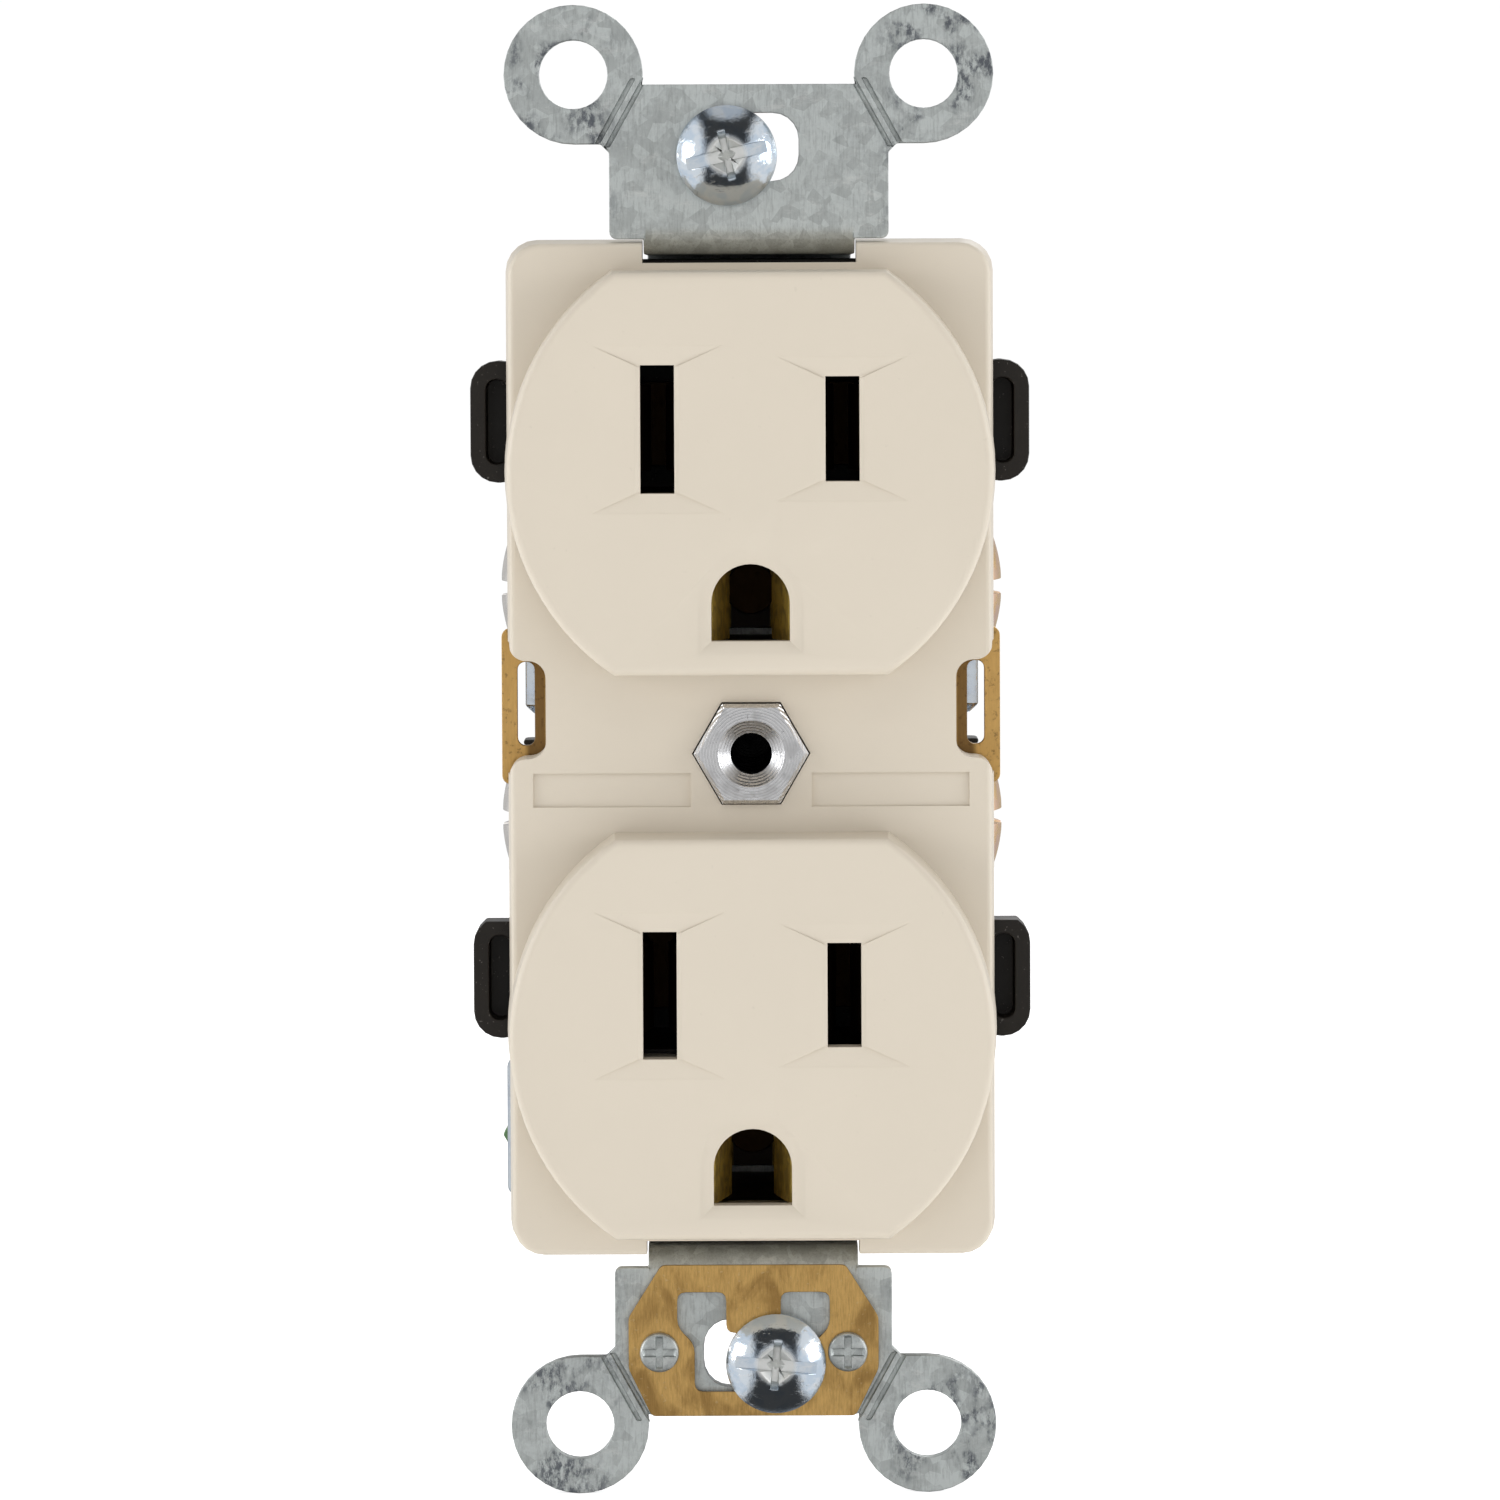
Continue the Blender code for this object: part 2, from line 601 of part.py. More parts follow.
def cut_slot_lead(cover, name, across, middle, height):
    """A narrow chamfer down a slot's sides, and a shallow slope to its upper and lower ends."""
    front, deep = FACE_FRONT - 0.2 * MM, FACE_FRONT + 0.2 * MM
    wide = (SLOT_WIDTH + 1.4 * MM, height)
    narrow = (SLOT_WIDTH - 0.1 * MM, height - 0.2 * MM)
    cut(cover, tapered_box(name, (across, front, middle), wide, (across, deep, middle), narrow))
    for way in SIDES:
        slope = box(name + f"_slope_{way}", (-1, -1, -1), (1, 1, 1))
        end = middle + way * height / 2
        for vert in slope.data.vertices:
            far = vert.co.z > 0
            half_wide = 4.5 * MM if far else SLOT_WIDTH / 2
            rise = 1.35 * MM if far else -0.2 * MM
            sunk = 0.01 * MM if far else 0.16 * MM
            vert.co.x = across + math.copysign(half_wide, vert.co.x)
            vert.co.y = FACE_FRONT + (sunk if vert.co.y > 0 else -0.3 * MM)
            vert.co.z = end + way * rise
        if way < 0:
            slope.data.flip_normals()
        cut(cover, slope)


def make_cover():
    rim_foot, rim_top = RIM_SHIFT - RIM_HALF_LENGTH, RIM_SHIFT + RIM_HALF_LENGTH
    rim_edges = (-RIM_HALF_WIDTH, RIM_HALF_WIDTH, rim_foot, rim_top)
    rim_outline = rounded_rectangle(*rim_edges, RIM_CORNER)
    cover = prism("face_cover", [rim_outline], "XZ", COVER_PLATEAU, COVER_BACK)
    share_x, share_z = 1 - RIM_DRAFT / RIM_HALF_WIDTH, 1 - RIM_DRAFT / RIM_HALF_LENGTH
    draft(cover, RIM_SHIFT, share_x, share_z, COVER_PLATEAU)
    round_edges(cover, 0.35 * MM, COVER_PLATEAU)
    for number, middle in enumerate(FACES):
        face = prism(f"face_{number}", [face_outline(middle)], "XZ", FACE_FRONT, COVER_BACK - 0.4 * MM)
        share = 1 - FACE_DRAFT / FACE_RADIUS
        draft(face, middle, share, share, FACE_FRONT)
        round_edges(face, FACE_EDGE, FACE_FRONT)
        join(cover, face)
    neck_half = NECK_HALF_WIDTH + NECK_NOTCH_GAP
    neck = rectangle(-neck_half, neck_half, NECK_SILL, rim_top + MM)
    notches = [neck, flipped(neck, up=-1), tab_notch(), flipped(tab_notch(), across=-1)]
    label = rectangle(*LABEL_PANEL)
    labels = [label, flipped(label, across=-1)]
    hex_seat = hexagon(0, 0, POST_ACROSS_FLATS / math.sqrt(3) + POST_SEAT_PLAY)
    before = COVER_PLATEAU - MM
    seat_depth = COVER_PLATEAU + POST_SEAT_DEPTH
    cut(
        cover,
        prism("rim_notches", notches, "XZ", before, COVER_BACK + MM),
        prism("label_panels", labels, "XZ", before, COVER_PLATEAU + LABEL_DEPTH),
        prism("post_seat", [hex_seat], "XZ", before, seat_depth),
        rod("cover_post_hole", (0, seat_depth - MM, 0), (0, COVER_BACK + MM, 0), POST_HOLE_RADIUS),
    )
    cut_plug_holes(cover)
    cover.data.materials.append(IVORY)


# ---------------------------------------------------------------- body


def make_body():
    front = COVER_BACK + GAP
    outline = rounded_rectangle(
        -BODY_HALF_WIDTH, BODY_HALF_WIDTH, -BODY_HALF_LENGTH, BODY_HALF_LENGTH, 1.5 * MM
    )
    body = prism("back_body", [outline], "XZ", front, BODY_BACK)
    round_edges(body, 0.8 * MM, BODY_BACK)
    wings = []
    wing_pockets = []
    for side in SIDES:
        for middle in WING_ZS:
            edges = sorted((side * WING_INNER, side * WING_OUTER))
            foot, top = middle - WING_HALF, middle + WING_HALF
            wings.append(rounded_rectangle(*edges, foot, top, WING_CORNER))
            inner = sorted((side * (WING_INNER + 1.4 * MM), side * (WING_OUTER - 1.1 * MM)))
            rim = 1.3 * MM
            wing_pockets.append(rounded_rectangle(*inner, foot + rim, top - rim, 0.7 * MM))
    join(body, prism("side_wings", wings, "XZ", WING_FRONT, WING_BACK))

    wall = BAR_INNER - GAP
    beyond = BODY_HALF_WIDTH + 6 * MM
    recess = rectangle(wall, beyond, TAB_Z - 15.1 * MM, TAB_Z + 15.1 * MM)
    window = rectangle(wall, beyond, TAB_Z - 3.15 * MM, TAB_Z + 3.15 * MM)
    tail_room = rectangle(wall, beyond, TAB_Z - 17.35 * MM, TAB_Z - 14.0 * MM)
    chambers = []
    for slot_z in SLOT_ZS:
        chamber = rectangle(3.9 * MM, 14.4 * MM, slot_z - 4.6 * MM, slot_z + 4.6 * MM)
        chambers += [chamber, flipped(chamber, across=-1)]
    ground = [block(0, z, 3.3 * MM, 3.3 * MM) for z in GROUND_ZS]
    before, behind = front - MM, BODY_BACK + MM
    cut(
        body,
        prism("wing_pockets", wing_pockets, "XZ", before, WING_FRONT + WING_POCKET_DEPTH),
        prism("terminal_recesses", [recess, flipped(recess, across=-1)], "XZ", before, SHELF),
        prism("tab_windows", [window, flipped(window, across=-1)], "XZ", SHELF - MM, behind),
        prism("clamp_tail_rooms", [tail_room, flipped(tail_room, across=-1)], "XZ", 7.3 * MM, 11.7 * MM),
        prism("blade_chambers", chambers, "XZ", before, CHAMBER_BACK),
        prism("ground_chambers", ground, "XZ", before, behind),
        prism("wire_slots", wire_slots(), "XZ", SHELF - MM, behind),
        rod("body_post_hole", (0, before, 0), (0, behind, 0), POST_HOLE_RADIUS),
        rod(
            "ground_screw_room",
            (GROUND_SCREW_X, 13 * MM, GROUND_SCREW_Z),
            (GROUND_SCREW_X, behind, GROUND_SCREW_Z),
            SCREW_ROOM_RADIUS,
        ),
    )
    for side in SIDES:
        for number, z in enumerate(TERMINAL_ZS):
            start = (side * 9.5 * MM, TERMINAL_Y, z)
            end = (side * (BAR_INNER + MM), TERMINAL_Y, z)
            cut(body, rod(f"terminal_screw_room_{number}_{side}", start, end, SCREW_ROOM_RADIUS))
    body.data.materials.append(BLACK)


def wire_slots():
    """Openings in the shelves behind the terminals, where the bared wires come in from the back."""
    slots = []
    for z in TERMINAL_ZS:
        for way in SIDES:
            middle = z + way * WIRE_OFFSET
            slot = arc(BAR_OUTER + 1.4 * MM, middle, WIRE_SLOT_RADIUS, 90, 270, 12)
            beyond = BODY_HALF_WIDTH + MM
            slot += [(beyond, middle - WIRE_SLOT_RADIUS), (beyond, middle + WIRE_SLOT_RADIUS)]
            slots += [slot, flipped(slot, across=-1)]
    return slots


# ---------------------------------------------------------------- contacts


def make_bus_bar(name, side):
    """Brass for one side: two terminal plates joined only by the break-off tab, and two spring contacts."""
    plates = []
    beyond = 3.7 * MM
    spans = (TAB_Z + 2.15 * MM, SLOT_ZS[0] + beyond), (SLOT_ZS[1] - beyond, TAB_Z - 2.15 * MM)
    for foot, top in spans:
        low = (min(side * BAR_INNER, side * BAR_OUTER), BAR_FRONT, foot)
        high = (max(side * BAR_INNER, side * BAR_OUTER), BAR_BACK, top)
        plates.append(box(f"{name}_plate_{len(plates)}", low, high))
    bar = plates[0]
    bar.name = name
    join(bar, plates[1], break_off_tab(name + "_tab", side))
    half = 3.0 * MM
    for number, slot_z in enumerate(SLOT_ZS):
        for leaf, corners in contact_leaves():
            outline = bent_strip([(x * side, y) for x, y in corners], 1.0 * MM, 0.8 * MM, 4)
            join(bar, prism(f"{name}_{leaf}_{number}", [outline], "XY", slot_z - half, slot_z + half))
    for number, z in enumerate(TERMINAL_ZS):
        start = (side * (BAR_INNER - MM), TERMINAL_Y, z)
        end = (side * (BAR_OUTER + MM), TERMINAL_Y, z)
        cut(bar, rod(f"{name}_tapping_{number}", start, end, TERMINAL_SCREW_RADIUS + THREAD_GAP))
    bar.data.materials.append(BRASS)


def contact_leaves():
    """Middle lines of the two leaves that grip a blade, seen from above, for the side at +X."""
    floor = 17.6 * MM
    pinch = 2.0 * MM
    mouth = -4.3 * MM
    bar = (BAR_INNER + BAR_OUTER) / 2
    root, waist, flare = 1.6 * MM, 0.9 * MM, 1.7 * MM
    inner = [(bar, floor - 4 * MM), (bar, floor), (SLOT_X - root, floor), (SLOT_X - root, 10 * MM)]
    inner += [(SLOT_X - waist, pinch), (SLOT_X - flare, mouth)]
    outer = [(SLOT_X + root, floor), (SLOT_X + root, 10 * MM)]
    outer += [(SLOT_X + waist, pinch), (SLOT_X + flare, mouth)]
    return ("inner_leaf", inner), ("outer_leaf", outer)


def break_off_tab(name, side):
    """The fin in the side notch. Without it the upper and the lower outlet are separate circuits."""
    inner = BAR_INNER + 0.3 * MM
    half = 5.45 * MM
    edge = rounded_rectangle(inner, TAB_REACH, TAB_Z - half, TAB_Z + half, 0.6 * MM)
    slot = rounded_rectangle(15.1 * MM, 16.3 * MM, TAB_Z - 2.75 * MM, TAB_Z + 3.1 * MM, 0.55 * MM)
    outlines = [edge, slot] if side > 0 else [flipped(edge, across=-1), flipped(slot, across=-1)]
    front = COVER_BACK + GAP
    return prism(name, outlines, "XZ", front, front + 0.9 * MM)


def make_ground_contact(name, middle):
    """A U of brass whose two walls grip the plug's ground pin."""
    floor = BODY_BACK - 0.35 * MM
    half = [(2.95, -4.3), (1.8, 2.0), (2.5, 8.0)]
    wall = [(x * MM, y * MM) for x, y in half] + [(2.65 * MM, floor)]
    corners = wall + [(-x, y) for x, y in reversed(wall)]
    outline = bent_strip(corners, 1.0 * MM, 0.7 * MM, 4)
    contact = prism(name, [outline], "XY", middle - 2.8 * MM, middle + 2.6 * MM)
    start, end = (0, floor - MM, middle), (0, floor + MM, middle)
    hole = rod(name + "_hole", start, end, GROUND_RIVET_HOLE, segments=20)
    cut(contact, hole)
    contact.data.materials.append(BRASS)


def make_ground_rivet(name, middle):
    """Holds a ground contact to the strap."""
    inner_head = BODY_BACK - 0.8 * MM
    outer_head = STRAP_REAR + 0.1 * MM
    profile = [
        (0, outer_head + 0.7 * MM),
        (1.2 * MM, outer_head + 0.7 * MM),
        (1.9 * MM, outer_head + 0.3 * MM),
        (1.9 * MM, outer_head),
        (1.1 * MM, outer_head),
        (1.1 * MM, inner_head),
        (1.8 * MM, inner_head),
        (1.8 * MM, inner_head - 0.6 * MM),
        (0, inner_head - 0.6 * MM),
    ]
    rivet = turned(name, profile, (0, 0, middle), (0, 1, 0), 24)
    rivet.data.materials.append(BRASS)


# ---------------------------------------------------------------- screws, clamps and keepers


def cut_drive(screw, name, place, direction, top, slot, cross, depth, turn):
    """A slot right across the head and a shorter bar square to it. turn is in degrees about the axis."""
    spin = Vector((0, 0, 1)).rotation_difference(Vector(direction)).to_matrix().to_4x4()
    spin = spin @ Matrix.Rotation(math.radians(turn), 4, "Z")
    for number, (wide, tall) in enumerate((slot, cross)):
        low = (-wide / 2, -tall / 2, top - depth)
        high = (wide / 2, tall / 2, top + MM)
        bar = box(f"{name}_drive_{number}", low, high)
        bar.data.transform(Matrix.Translation(place) @ spin)
        cut(screw, bar)


def dome(radius, rim, rise, steps=7):
    """Profile of a domed head, from the top of its axis to the foot of its rim, which is at height 0."""
    sphere = (radius * radius + rise * rise) / (2 * rise)
    widest = math.asin(radius / sphere)
    angles = [widest * i / steps for i in range(steps + 1)]
    curve = [(sphere * math.sin(a), rim + rise - sphere * (1 - math.cos(a))) for a in angles]
    return curve + [(radius, 0)]


def shank(radius, length, lead):
    return [(radius, 0), (radius, -length + lead), (radius - lead * 0.5, -length), (0, -length)]


def make_terminal(prefix, side, z, gap, brass):
    """A terminal screw and the clamp plate under its head, for a wire from the back."""
    inner = BAR_OUTER + gap
    outer = inner + CLAMP_THICK
    place = (side * (outer + GAP), TERMINAL_Y, z)
    profile = dome(TERMINAL_HEAD_RADIUS, TERMINAL_HEAD_RIM, TERMINAL_HEAD_RISE)
    profile += shank(TERMINAL_SCREW_RADIUS, 6.0 * MM, 0.6 * MM)
    screw = turned(prefix + "_screw", profile, place, (side, 0, 0))
    cut_drive(
        screw,
        prefix,
        place,
        (side, 0, 0),
        top=TERMINAL_HEAD_RIM + TERMINAL_HEAD_RISE,
        slot=(1.1 * MM, 9 * MM),
        cross=(4.4 * MM, 1.1 * MM),
        depth=0.8 * MM,
        turn=90,
    )
    screw.data.materials.append(brass)

    foot, head = z - CLAMP_TAIL, z + CLAMP_HALF
    waist = z - CLAMP_HALF
    left, right = TERMINAL_Y - CLAMP_HALF, TERMINAL_Y + CLAMP_HALF
    near, far = TERMINAL_Y - CLAMP_TAIL_HALF, TERMINAL_Y + CLAMP_TAIL_HALF
    corner = 0.6 * MM
    outline = (
        arc(right - corner, head - corner, corner, 0, 90, 4)
        + arc(left + corner, head - corner, corner, 90, 180, 4)
        + arc(left + corner, waist + corner, corner, 180, 270, 4)
        + [(near, waist), (near, foot + corner), (near + corner, foot)]
        + [(far - corner, foot), (far, foot + corner), (far, waist)]
        + arc(right - corner, waist + corner, corner, 270, 360, 4)
    )
    hole = circle(TERMINAL_Y, z, TERMINAL_SCREW_RADIUS + THREAD_GAP)
    clamp = prism(prefix + "_clamp", [outline, hole], "YZ", *sorted((side * inner, side * outer)))
    for vert in clamp.data.vertices:
        if abs(vert.co.x) > outer - 0.01 * MM and vert.co.z < foot + 0.01 * MM:
            vert.co.x -= side * corner
    set_origin(clamp, (side * inner, TERMINAL_Y, z))
    clamp.data.materials.append(ZINC)


def make_ground_terminal():
    """The green hexagon screw on the strap's lug, with its clamp plate."""
    inner = STRAP_REAR + 0.6 * MM
    outer = inner + 1.2 * MM
    place = (GROUND_SCREW_X, outer + GAP, GROUND_SCREW_Z)
    profile = [(0, 1.0 * MM), (2.8 * MM, 1.0 * MM), (2.8 * MM, 0)]
    profile += shank(TERMINAL_SCREW_RADIUS, 9.0 * MM, 0.6 * MM)
    screw = turned("ground_screw", profile, place, (0, 1, 0))
    head = prism(
        "ground_hexagon",
        [hexagon(GROUND_SCREW_X, GROUND_SCREW_Z, GROUND_HEX_RADIUS)],
        "XZ",
        place[1],
        place[1] + GROUND_HEAD_HEIGHT,
    )
    round_edges(head, 0.35 * MM, place[1] + GROUND_HEAD_HEIGHT, 1)
    join(screw, head)
    cut_drive(
        screw,
        "ground",
        place,
        (0, 1, 0),
        top=GROUND_HEAD_HEIGHT,
        slot=(1.1 * MM, 10 * MM),
        cross=(4.4 * MM, 1.1 * MM),
        depth=1.0 * MM,
        turn=60,
    )
    screw.data.materials.append(GREEN)

    left, right = GROUND_SCREW_X - CLAMP_HALF, GROUND_SCREW_X + CLAMP_HALF
    foot, head = GROUND_SCREW_Z - CLAMP_HALF, GROUND_SCREW_Z + CLAMP_HALF
    outline = rounded_rectangle(left, right, foot, head + 1.5 * MM, 0.6 * MM)
    hole = circle(GROUND_SCREW_X, GROUND_SCREW_Z, TERMINAL_SCREW_RADIUS + THREAD_GAP)
    clamp = prism("ground_clamp", [outline, hole], "XZ", inner, outer)
    hook_low = (GROUND_SCREW_X - 2 * MM, STRAP_REAR - 0.7 * MM, head + 0.4 * MM)
    hook_high = (GROUND_SCREW_X + 2 * MM, outer - 0.2 * MM, head + 1.4 * MM)
    set_origin(clamp, place)
    join(clamp, box("ground_clamp_hook", hook_low, hook_high))
    clamp.data.materials.append(ZINC)


def make_mounting_screw(word, across, z, seat, turn):
    """A captive screw for the wall box, and the fibre square that keeps it in the strap's slot."""
    name = "mounting_screw_" + word
    place = (across, seat, z)
    head_rim = 0.5 * MM
    profile = dome(MOUNTING_HEAD_RADIUS, head_rim, MOUNTING_HEAD_HEIGHT - head_rim)
    profile += shank(MOUNTING_SCREW_RADIUS, MOUNTING_SCREW_LENGTH, 1.2 * MM)
    screw = turned(name, profile, place, (0, -1, 0))
    cut_drive(
        screw,
        name,
        place,
        (0, -1, 0),
        top=MOUNTING_HEAD_HEIGHT,
        slot=(8 * MM, 0.95 * MM),
        cross=(0.95 * MM, 3.2 * MM),
        depth=1.0 * MM,
        turn=turn,
    )
    screw.data.materials.append(ZINC)
    sides = (across - KEEPER_HALF, across + KEEPER_HALF, z - KEEPER_HALF, z + KEEPER_HALF)
    edge = rounded_rectangle(*sides, KEEPER_CORNER)
    hole = circle(across, z, MOUNTING_SCREW_RADIUS + THREAD_GAP)
    keeper = prism("screw_keeper_" + word, [edge, hole], "XZ", GAP, GAP + 0.8 * MM)
    set_origin(keeper, (across, GAP, z))
    keeper.data.materials.append(FIBRE)


# ---------------------------------------------------------------- assembly

make_cover()
make_body()
make_strap()
make_clip()
make_post()
for side, word in zip(SIDES, ("neutral", "hot")):
    make_bus_bar(word + "_bus_bar", side)
for z, word in zip(GROUND_ZS, ("upper", "lower")):
    make_ground_contact("ground_contact_" + word, z)
    make_ground_rivet("ground_rivet_" + word, z)
for z, word in zip(TERMINAL_ZS, ("upper", "lower")):
    make_terminal("neutral_" + word, -1, z, NEUTRAL_CLAMP_GAP, NICKEL)
    make_terminal("hot_" + word, 1, z, HOT_CLAMP_GAP, BRASS)
make_ground_terminal()
upper_seat = STRAP_FRONT - GAP
lower_seat = upper_seat - CLIP_THICK - 0.1 * MM
sag = 0.6 * MM  # how far a loose screw hangs below the middle of its slot
make_mounting_screw("upper", -1.53 * MM, SCREW_SLOT_Z - sag, upper_seat, 13)
make_mounting_screw("lower", 1.55 * MM, -SCREW_SLOT_Z - sag, lower_seat, -5)

assembly = bpy.data.objects.new("duplex_outlet_assembly", None)
PARTS.objects.link(assembly)
for piece in PARTS.objects:
    if piece != assembly:
        piece.parent = assembly
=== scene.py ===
"""Looks of a duplex wall outlet, laid out as an add-on and run as a script.

Metres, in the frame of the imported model: +X right, +Y into the wall, +Z up.
"""

import json
import math

import bmesh
import bpy
from bpy.props import FloatProperty, FloatVectorProperty, PointerProperty
from mathutils import Matrix, Vector

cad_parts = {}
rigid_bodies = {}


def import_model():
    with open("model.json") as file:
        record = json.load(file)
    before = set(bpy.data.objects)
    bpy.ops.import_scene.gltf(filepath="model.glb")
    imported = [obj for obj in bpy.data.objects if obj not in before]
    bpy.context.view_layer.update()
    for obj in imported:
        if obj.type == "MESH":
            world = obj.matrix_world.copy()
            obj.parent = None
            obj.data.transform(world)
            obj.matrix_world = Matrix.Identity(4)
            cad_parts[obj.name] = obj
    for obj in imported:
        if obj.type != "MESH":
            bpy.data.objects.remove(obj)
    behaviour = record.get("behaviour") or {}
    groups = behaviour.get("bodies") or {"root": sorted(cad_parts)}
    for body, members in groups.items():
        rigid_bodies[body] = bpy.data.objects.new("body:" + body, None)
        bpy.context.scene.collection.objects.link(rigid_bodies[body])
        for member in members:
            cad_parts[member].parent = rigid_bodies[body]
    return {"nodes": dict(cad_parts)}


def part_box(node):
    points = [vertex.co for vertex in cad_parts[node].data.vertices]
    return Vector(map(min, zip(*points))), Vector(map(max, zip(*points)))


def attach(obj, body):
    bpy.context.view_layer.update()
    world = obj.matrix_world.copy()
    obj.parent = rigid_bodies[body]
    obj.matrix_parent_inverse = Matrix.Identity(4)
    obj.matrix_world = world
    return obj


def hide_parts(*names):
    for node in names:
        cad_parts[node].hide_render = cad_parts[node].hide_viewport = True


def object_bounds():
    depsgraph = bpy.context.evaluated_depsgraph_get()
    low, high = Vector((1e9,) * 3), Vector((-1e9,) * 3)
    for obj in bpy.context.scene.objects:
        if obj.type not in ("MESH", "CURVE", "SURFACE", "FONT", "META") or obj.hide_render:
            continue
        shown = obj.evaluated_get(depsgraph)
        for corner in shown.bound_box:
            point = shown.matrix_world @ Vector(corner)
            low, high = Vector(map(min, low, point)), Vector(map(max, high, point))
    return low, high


bl_info = {
    "name": "Duplex wall outlet",
    "version": (1, 0, 0),
    "blender": (4, 5, 0),
    "location": "3D View > Sidebar > Outlet",
    "description": "Finishes the pieces of a duplex wall outlet and sets up its stage",
    "category": "Object",
}

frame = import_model()
CAD_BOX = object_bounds()

MM = 0.001
OUTWARD = {"neutral": Vector((-1, 0, 0)), "hot": Vector((1, 0, 0))}
OUT_OF_WALL = Vector((0, -1, 0))
LEVELS = ("upper", "lower")

ROUND_STEPS = 72  # sides of a turned head
CROWN_STEPS = 10  # rings of a head's dome
RIM_EASE = 0.12 * MM  # rounding of a head's rim
THREAD_SIDES = 40
THREAD_ROWS = 8  # rows of points in one turn of a thread
THREAD_OVERLAP = 0.2 * MM  # a thread starts this far up inside its head
THREAD_CREST = 1.35  # over 1, so the thread has a flat crest
TIP_SHRINK = 0.28  # how much thinner the end of a screw is
WELD_DISTANCE = 0.0005 * MM
FLAT_BELOW = 0.6  # degrees between two faces that are one flat
SMOOTH_BELOW = 30  # degrees between two faces that shade as one
EDGE_ABOVE = 32  # degrees between two faces whose edge is rounded
EDGE_SEGMENTS = 2
KEPT_WEIGHT = 60  # pull of the large faces on the shading of a kept node
MADE_WEIGHT = 50  # the same for a new piece

CUTTER_ABOVE = 0.3 * MM  # a cutter stands this far above the head it cuts
SLOT_FLOOR = 0.86  # width of a slot's floor, as a share of its mouth
SLOT_SHARE = 0.62  # depth of the long slot, as a share of the whole drive
BAR_SHARE = 0.8  # the same for the bar across it
BAR_MOUTH = (0.66, 1.95 * MM)  # share of the slot's half width, and half length
BAR_FLOOR = (0.45, 1.2 * MM)
PIT_TIP = 0.05 * MM  # radius of the pit's bottom
PIT_RADIUS = 1.66 * MM  # and of its mouth

TERMINAL_SCREW = {
    "head_radius": 3.9 * MM,
    "rim": 0.7 * MM,
    "rise": 0.75 * MM,
    "thread_radius": 2.0 * MM,
    "tip": 0.6 * MM,
    "slot_half": 0.55 * MM,
    "slot_reach": 5 * MM,
    "drive_depth": 1.2 * MM,
}
MOUNTING_SCREW = {
    "head_radius": 3.48 * MM,
    "rim": 0.5 * MM,
    "rise": 1.6 * MM,
    "thread_radius": 1.7 * MM,
    "tip": 1.2 * MM,
    "slot_half": 0.47 * MM,
    "slot_reach": 4.5 * MM,
    "drive_depth": 1.6 * MM,
}
TERMINAL_TURN = 90  # degrees about the screw's own axis
MOUNTING_TURNS = (13, -5)  # the same, for the upper and the lower screw
SCREW_CORNER = 0.05 * MM
SCREW_CORNER_ABOVE = 38  # degrees

RIVET_TOP = 0.55 * MM
RIVET_RADIUS = 1.37 * MM
RIVET_ROUND = ((1.12 * MM, RIVET_TOP), (1.3 * MM, 0.45 * MM), (RIVET_RADIUS, 0.28 * MM))
RIVET_SHANK = 0.8 * MM
RIVET_TAIL_RADIUS = 1.3 * MM
RIVET_TAIL = (-2.2 * MM, -2.7 * MM)
STAKE_HALF = (1.22 * MM, 0.27 * MM)
STAKE_FLOOR = 0.82  # size of the stake's floor, as a share of its mouth
STAKE_DEPTH = 0.3 * MM
STAKE_ABOVE = 0.02 * MM  # its cutter stands this far above the head
RIVET_CORNER = 0.05 * MM
RIVET_CORNER_ABOVE = 30  # degrees

# Colours of dirt and wear, and of painted shade, in linear light
DUST = (0.16, 0.15, 0.14)
PALE_SCUFF = (0.86, 0.87, 0.85)
DARK_SMUDGE = (0.08, 0.09, 0.115)
PLATE_BLUE = (0.60, 0.67, 0.78)
SCREW_BLUE = (0.52, 0.62, 0.74)
ZINC_SCAR = (0.85, 0.85, 0.84)
FROSTED_ZINC = (0.88, 0.89, 0.87)
BROWN_STAIN = (0.24, 0.125, 0.035)
WORN_BRASS = (0.72, 0.52, 0.25)
# Painted shade of the contact brass inside the body, deep and soft
DEEP_PAINTED_SHADE = (0.030, 0.016, 0.007)
SOFT_PAINTED_SHADE = (0.075, 0.042, 0.018)
BRASS_PIT = (0.28, 0.17, 0.07)
# Painted shadow on the inner band of each break-off tab
TAB_PAINTED_SHADOW = (0.10, 0.05, 0.02)
CHEEK_GOLD = (0.66, 0.47, 0.10)
CHEEK_STAIN = (0.26, 0.17, 0.04)
# Painted shade between the cheeks of the ground grips
GRIP_PAINTED_SHADE = (0.035, 0.018, 0.008)
ROSY_TARNISH = (0.70, 0.45, 0.33)
THIN_GREEN = (0.45, 0.52, 0.38)


# ---------------------------------------------------------------- settings


class OutletSizes(bpy.types.PropertyGroup):
    """Sizes that change how the pieces look."""

    plastic_edge: FloatProperty(
        name="Plastic edge",
        description="Radius of the moulded edges",
        default=0.16 * MM,
        min=0.02 * MM,
        max=0.4 * MM,
        unit="LENGTH",
        precision=5,
    )
    metal_edge: FloatProperty(
        name="Metal edge",
        description="Radius of the edges of punched strip",
        default=0.09 * MM,
        min=0.02 * MM,
        max=0.2 * MM,
        unit="LENGTH",
        precision=5,
    )
    thread_pitch: FloatProperty(
        name="Thread pitch",
        description="Distance between two turns of a screw's thread",
        default=0.794 * MM,
        min=0.4 * MM,
        max=1.5 * MM,
        unit="LENGTH",
        precision=5,
    )
    thread_depth: FloatProperty(
        name="Thread depth",
        description="Height of a thread above its root",
        default=0.38 * MM,
        min=0.1 * MM,
        max=0.6 * MM,
        unit="LENGTH",
        precision=5,
    )


def colour_setting(name, description, default):
    """A colour that the sidebar can change."""
    return FloatVectorProperty(
        name=name, description=description, default=default, subtype="COLOR", size=3, min=0, max=1
    )


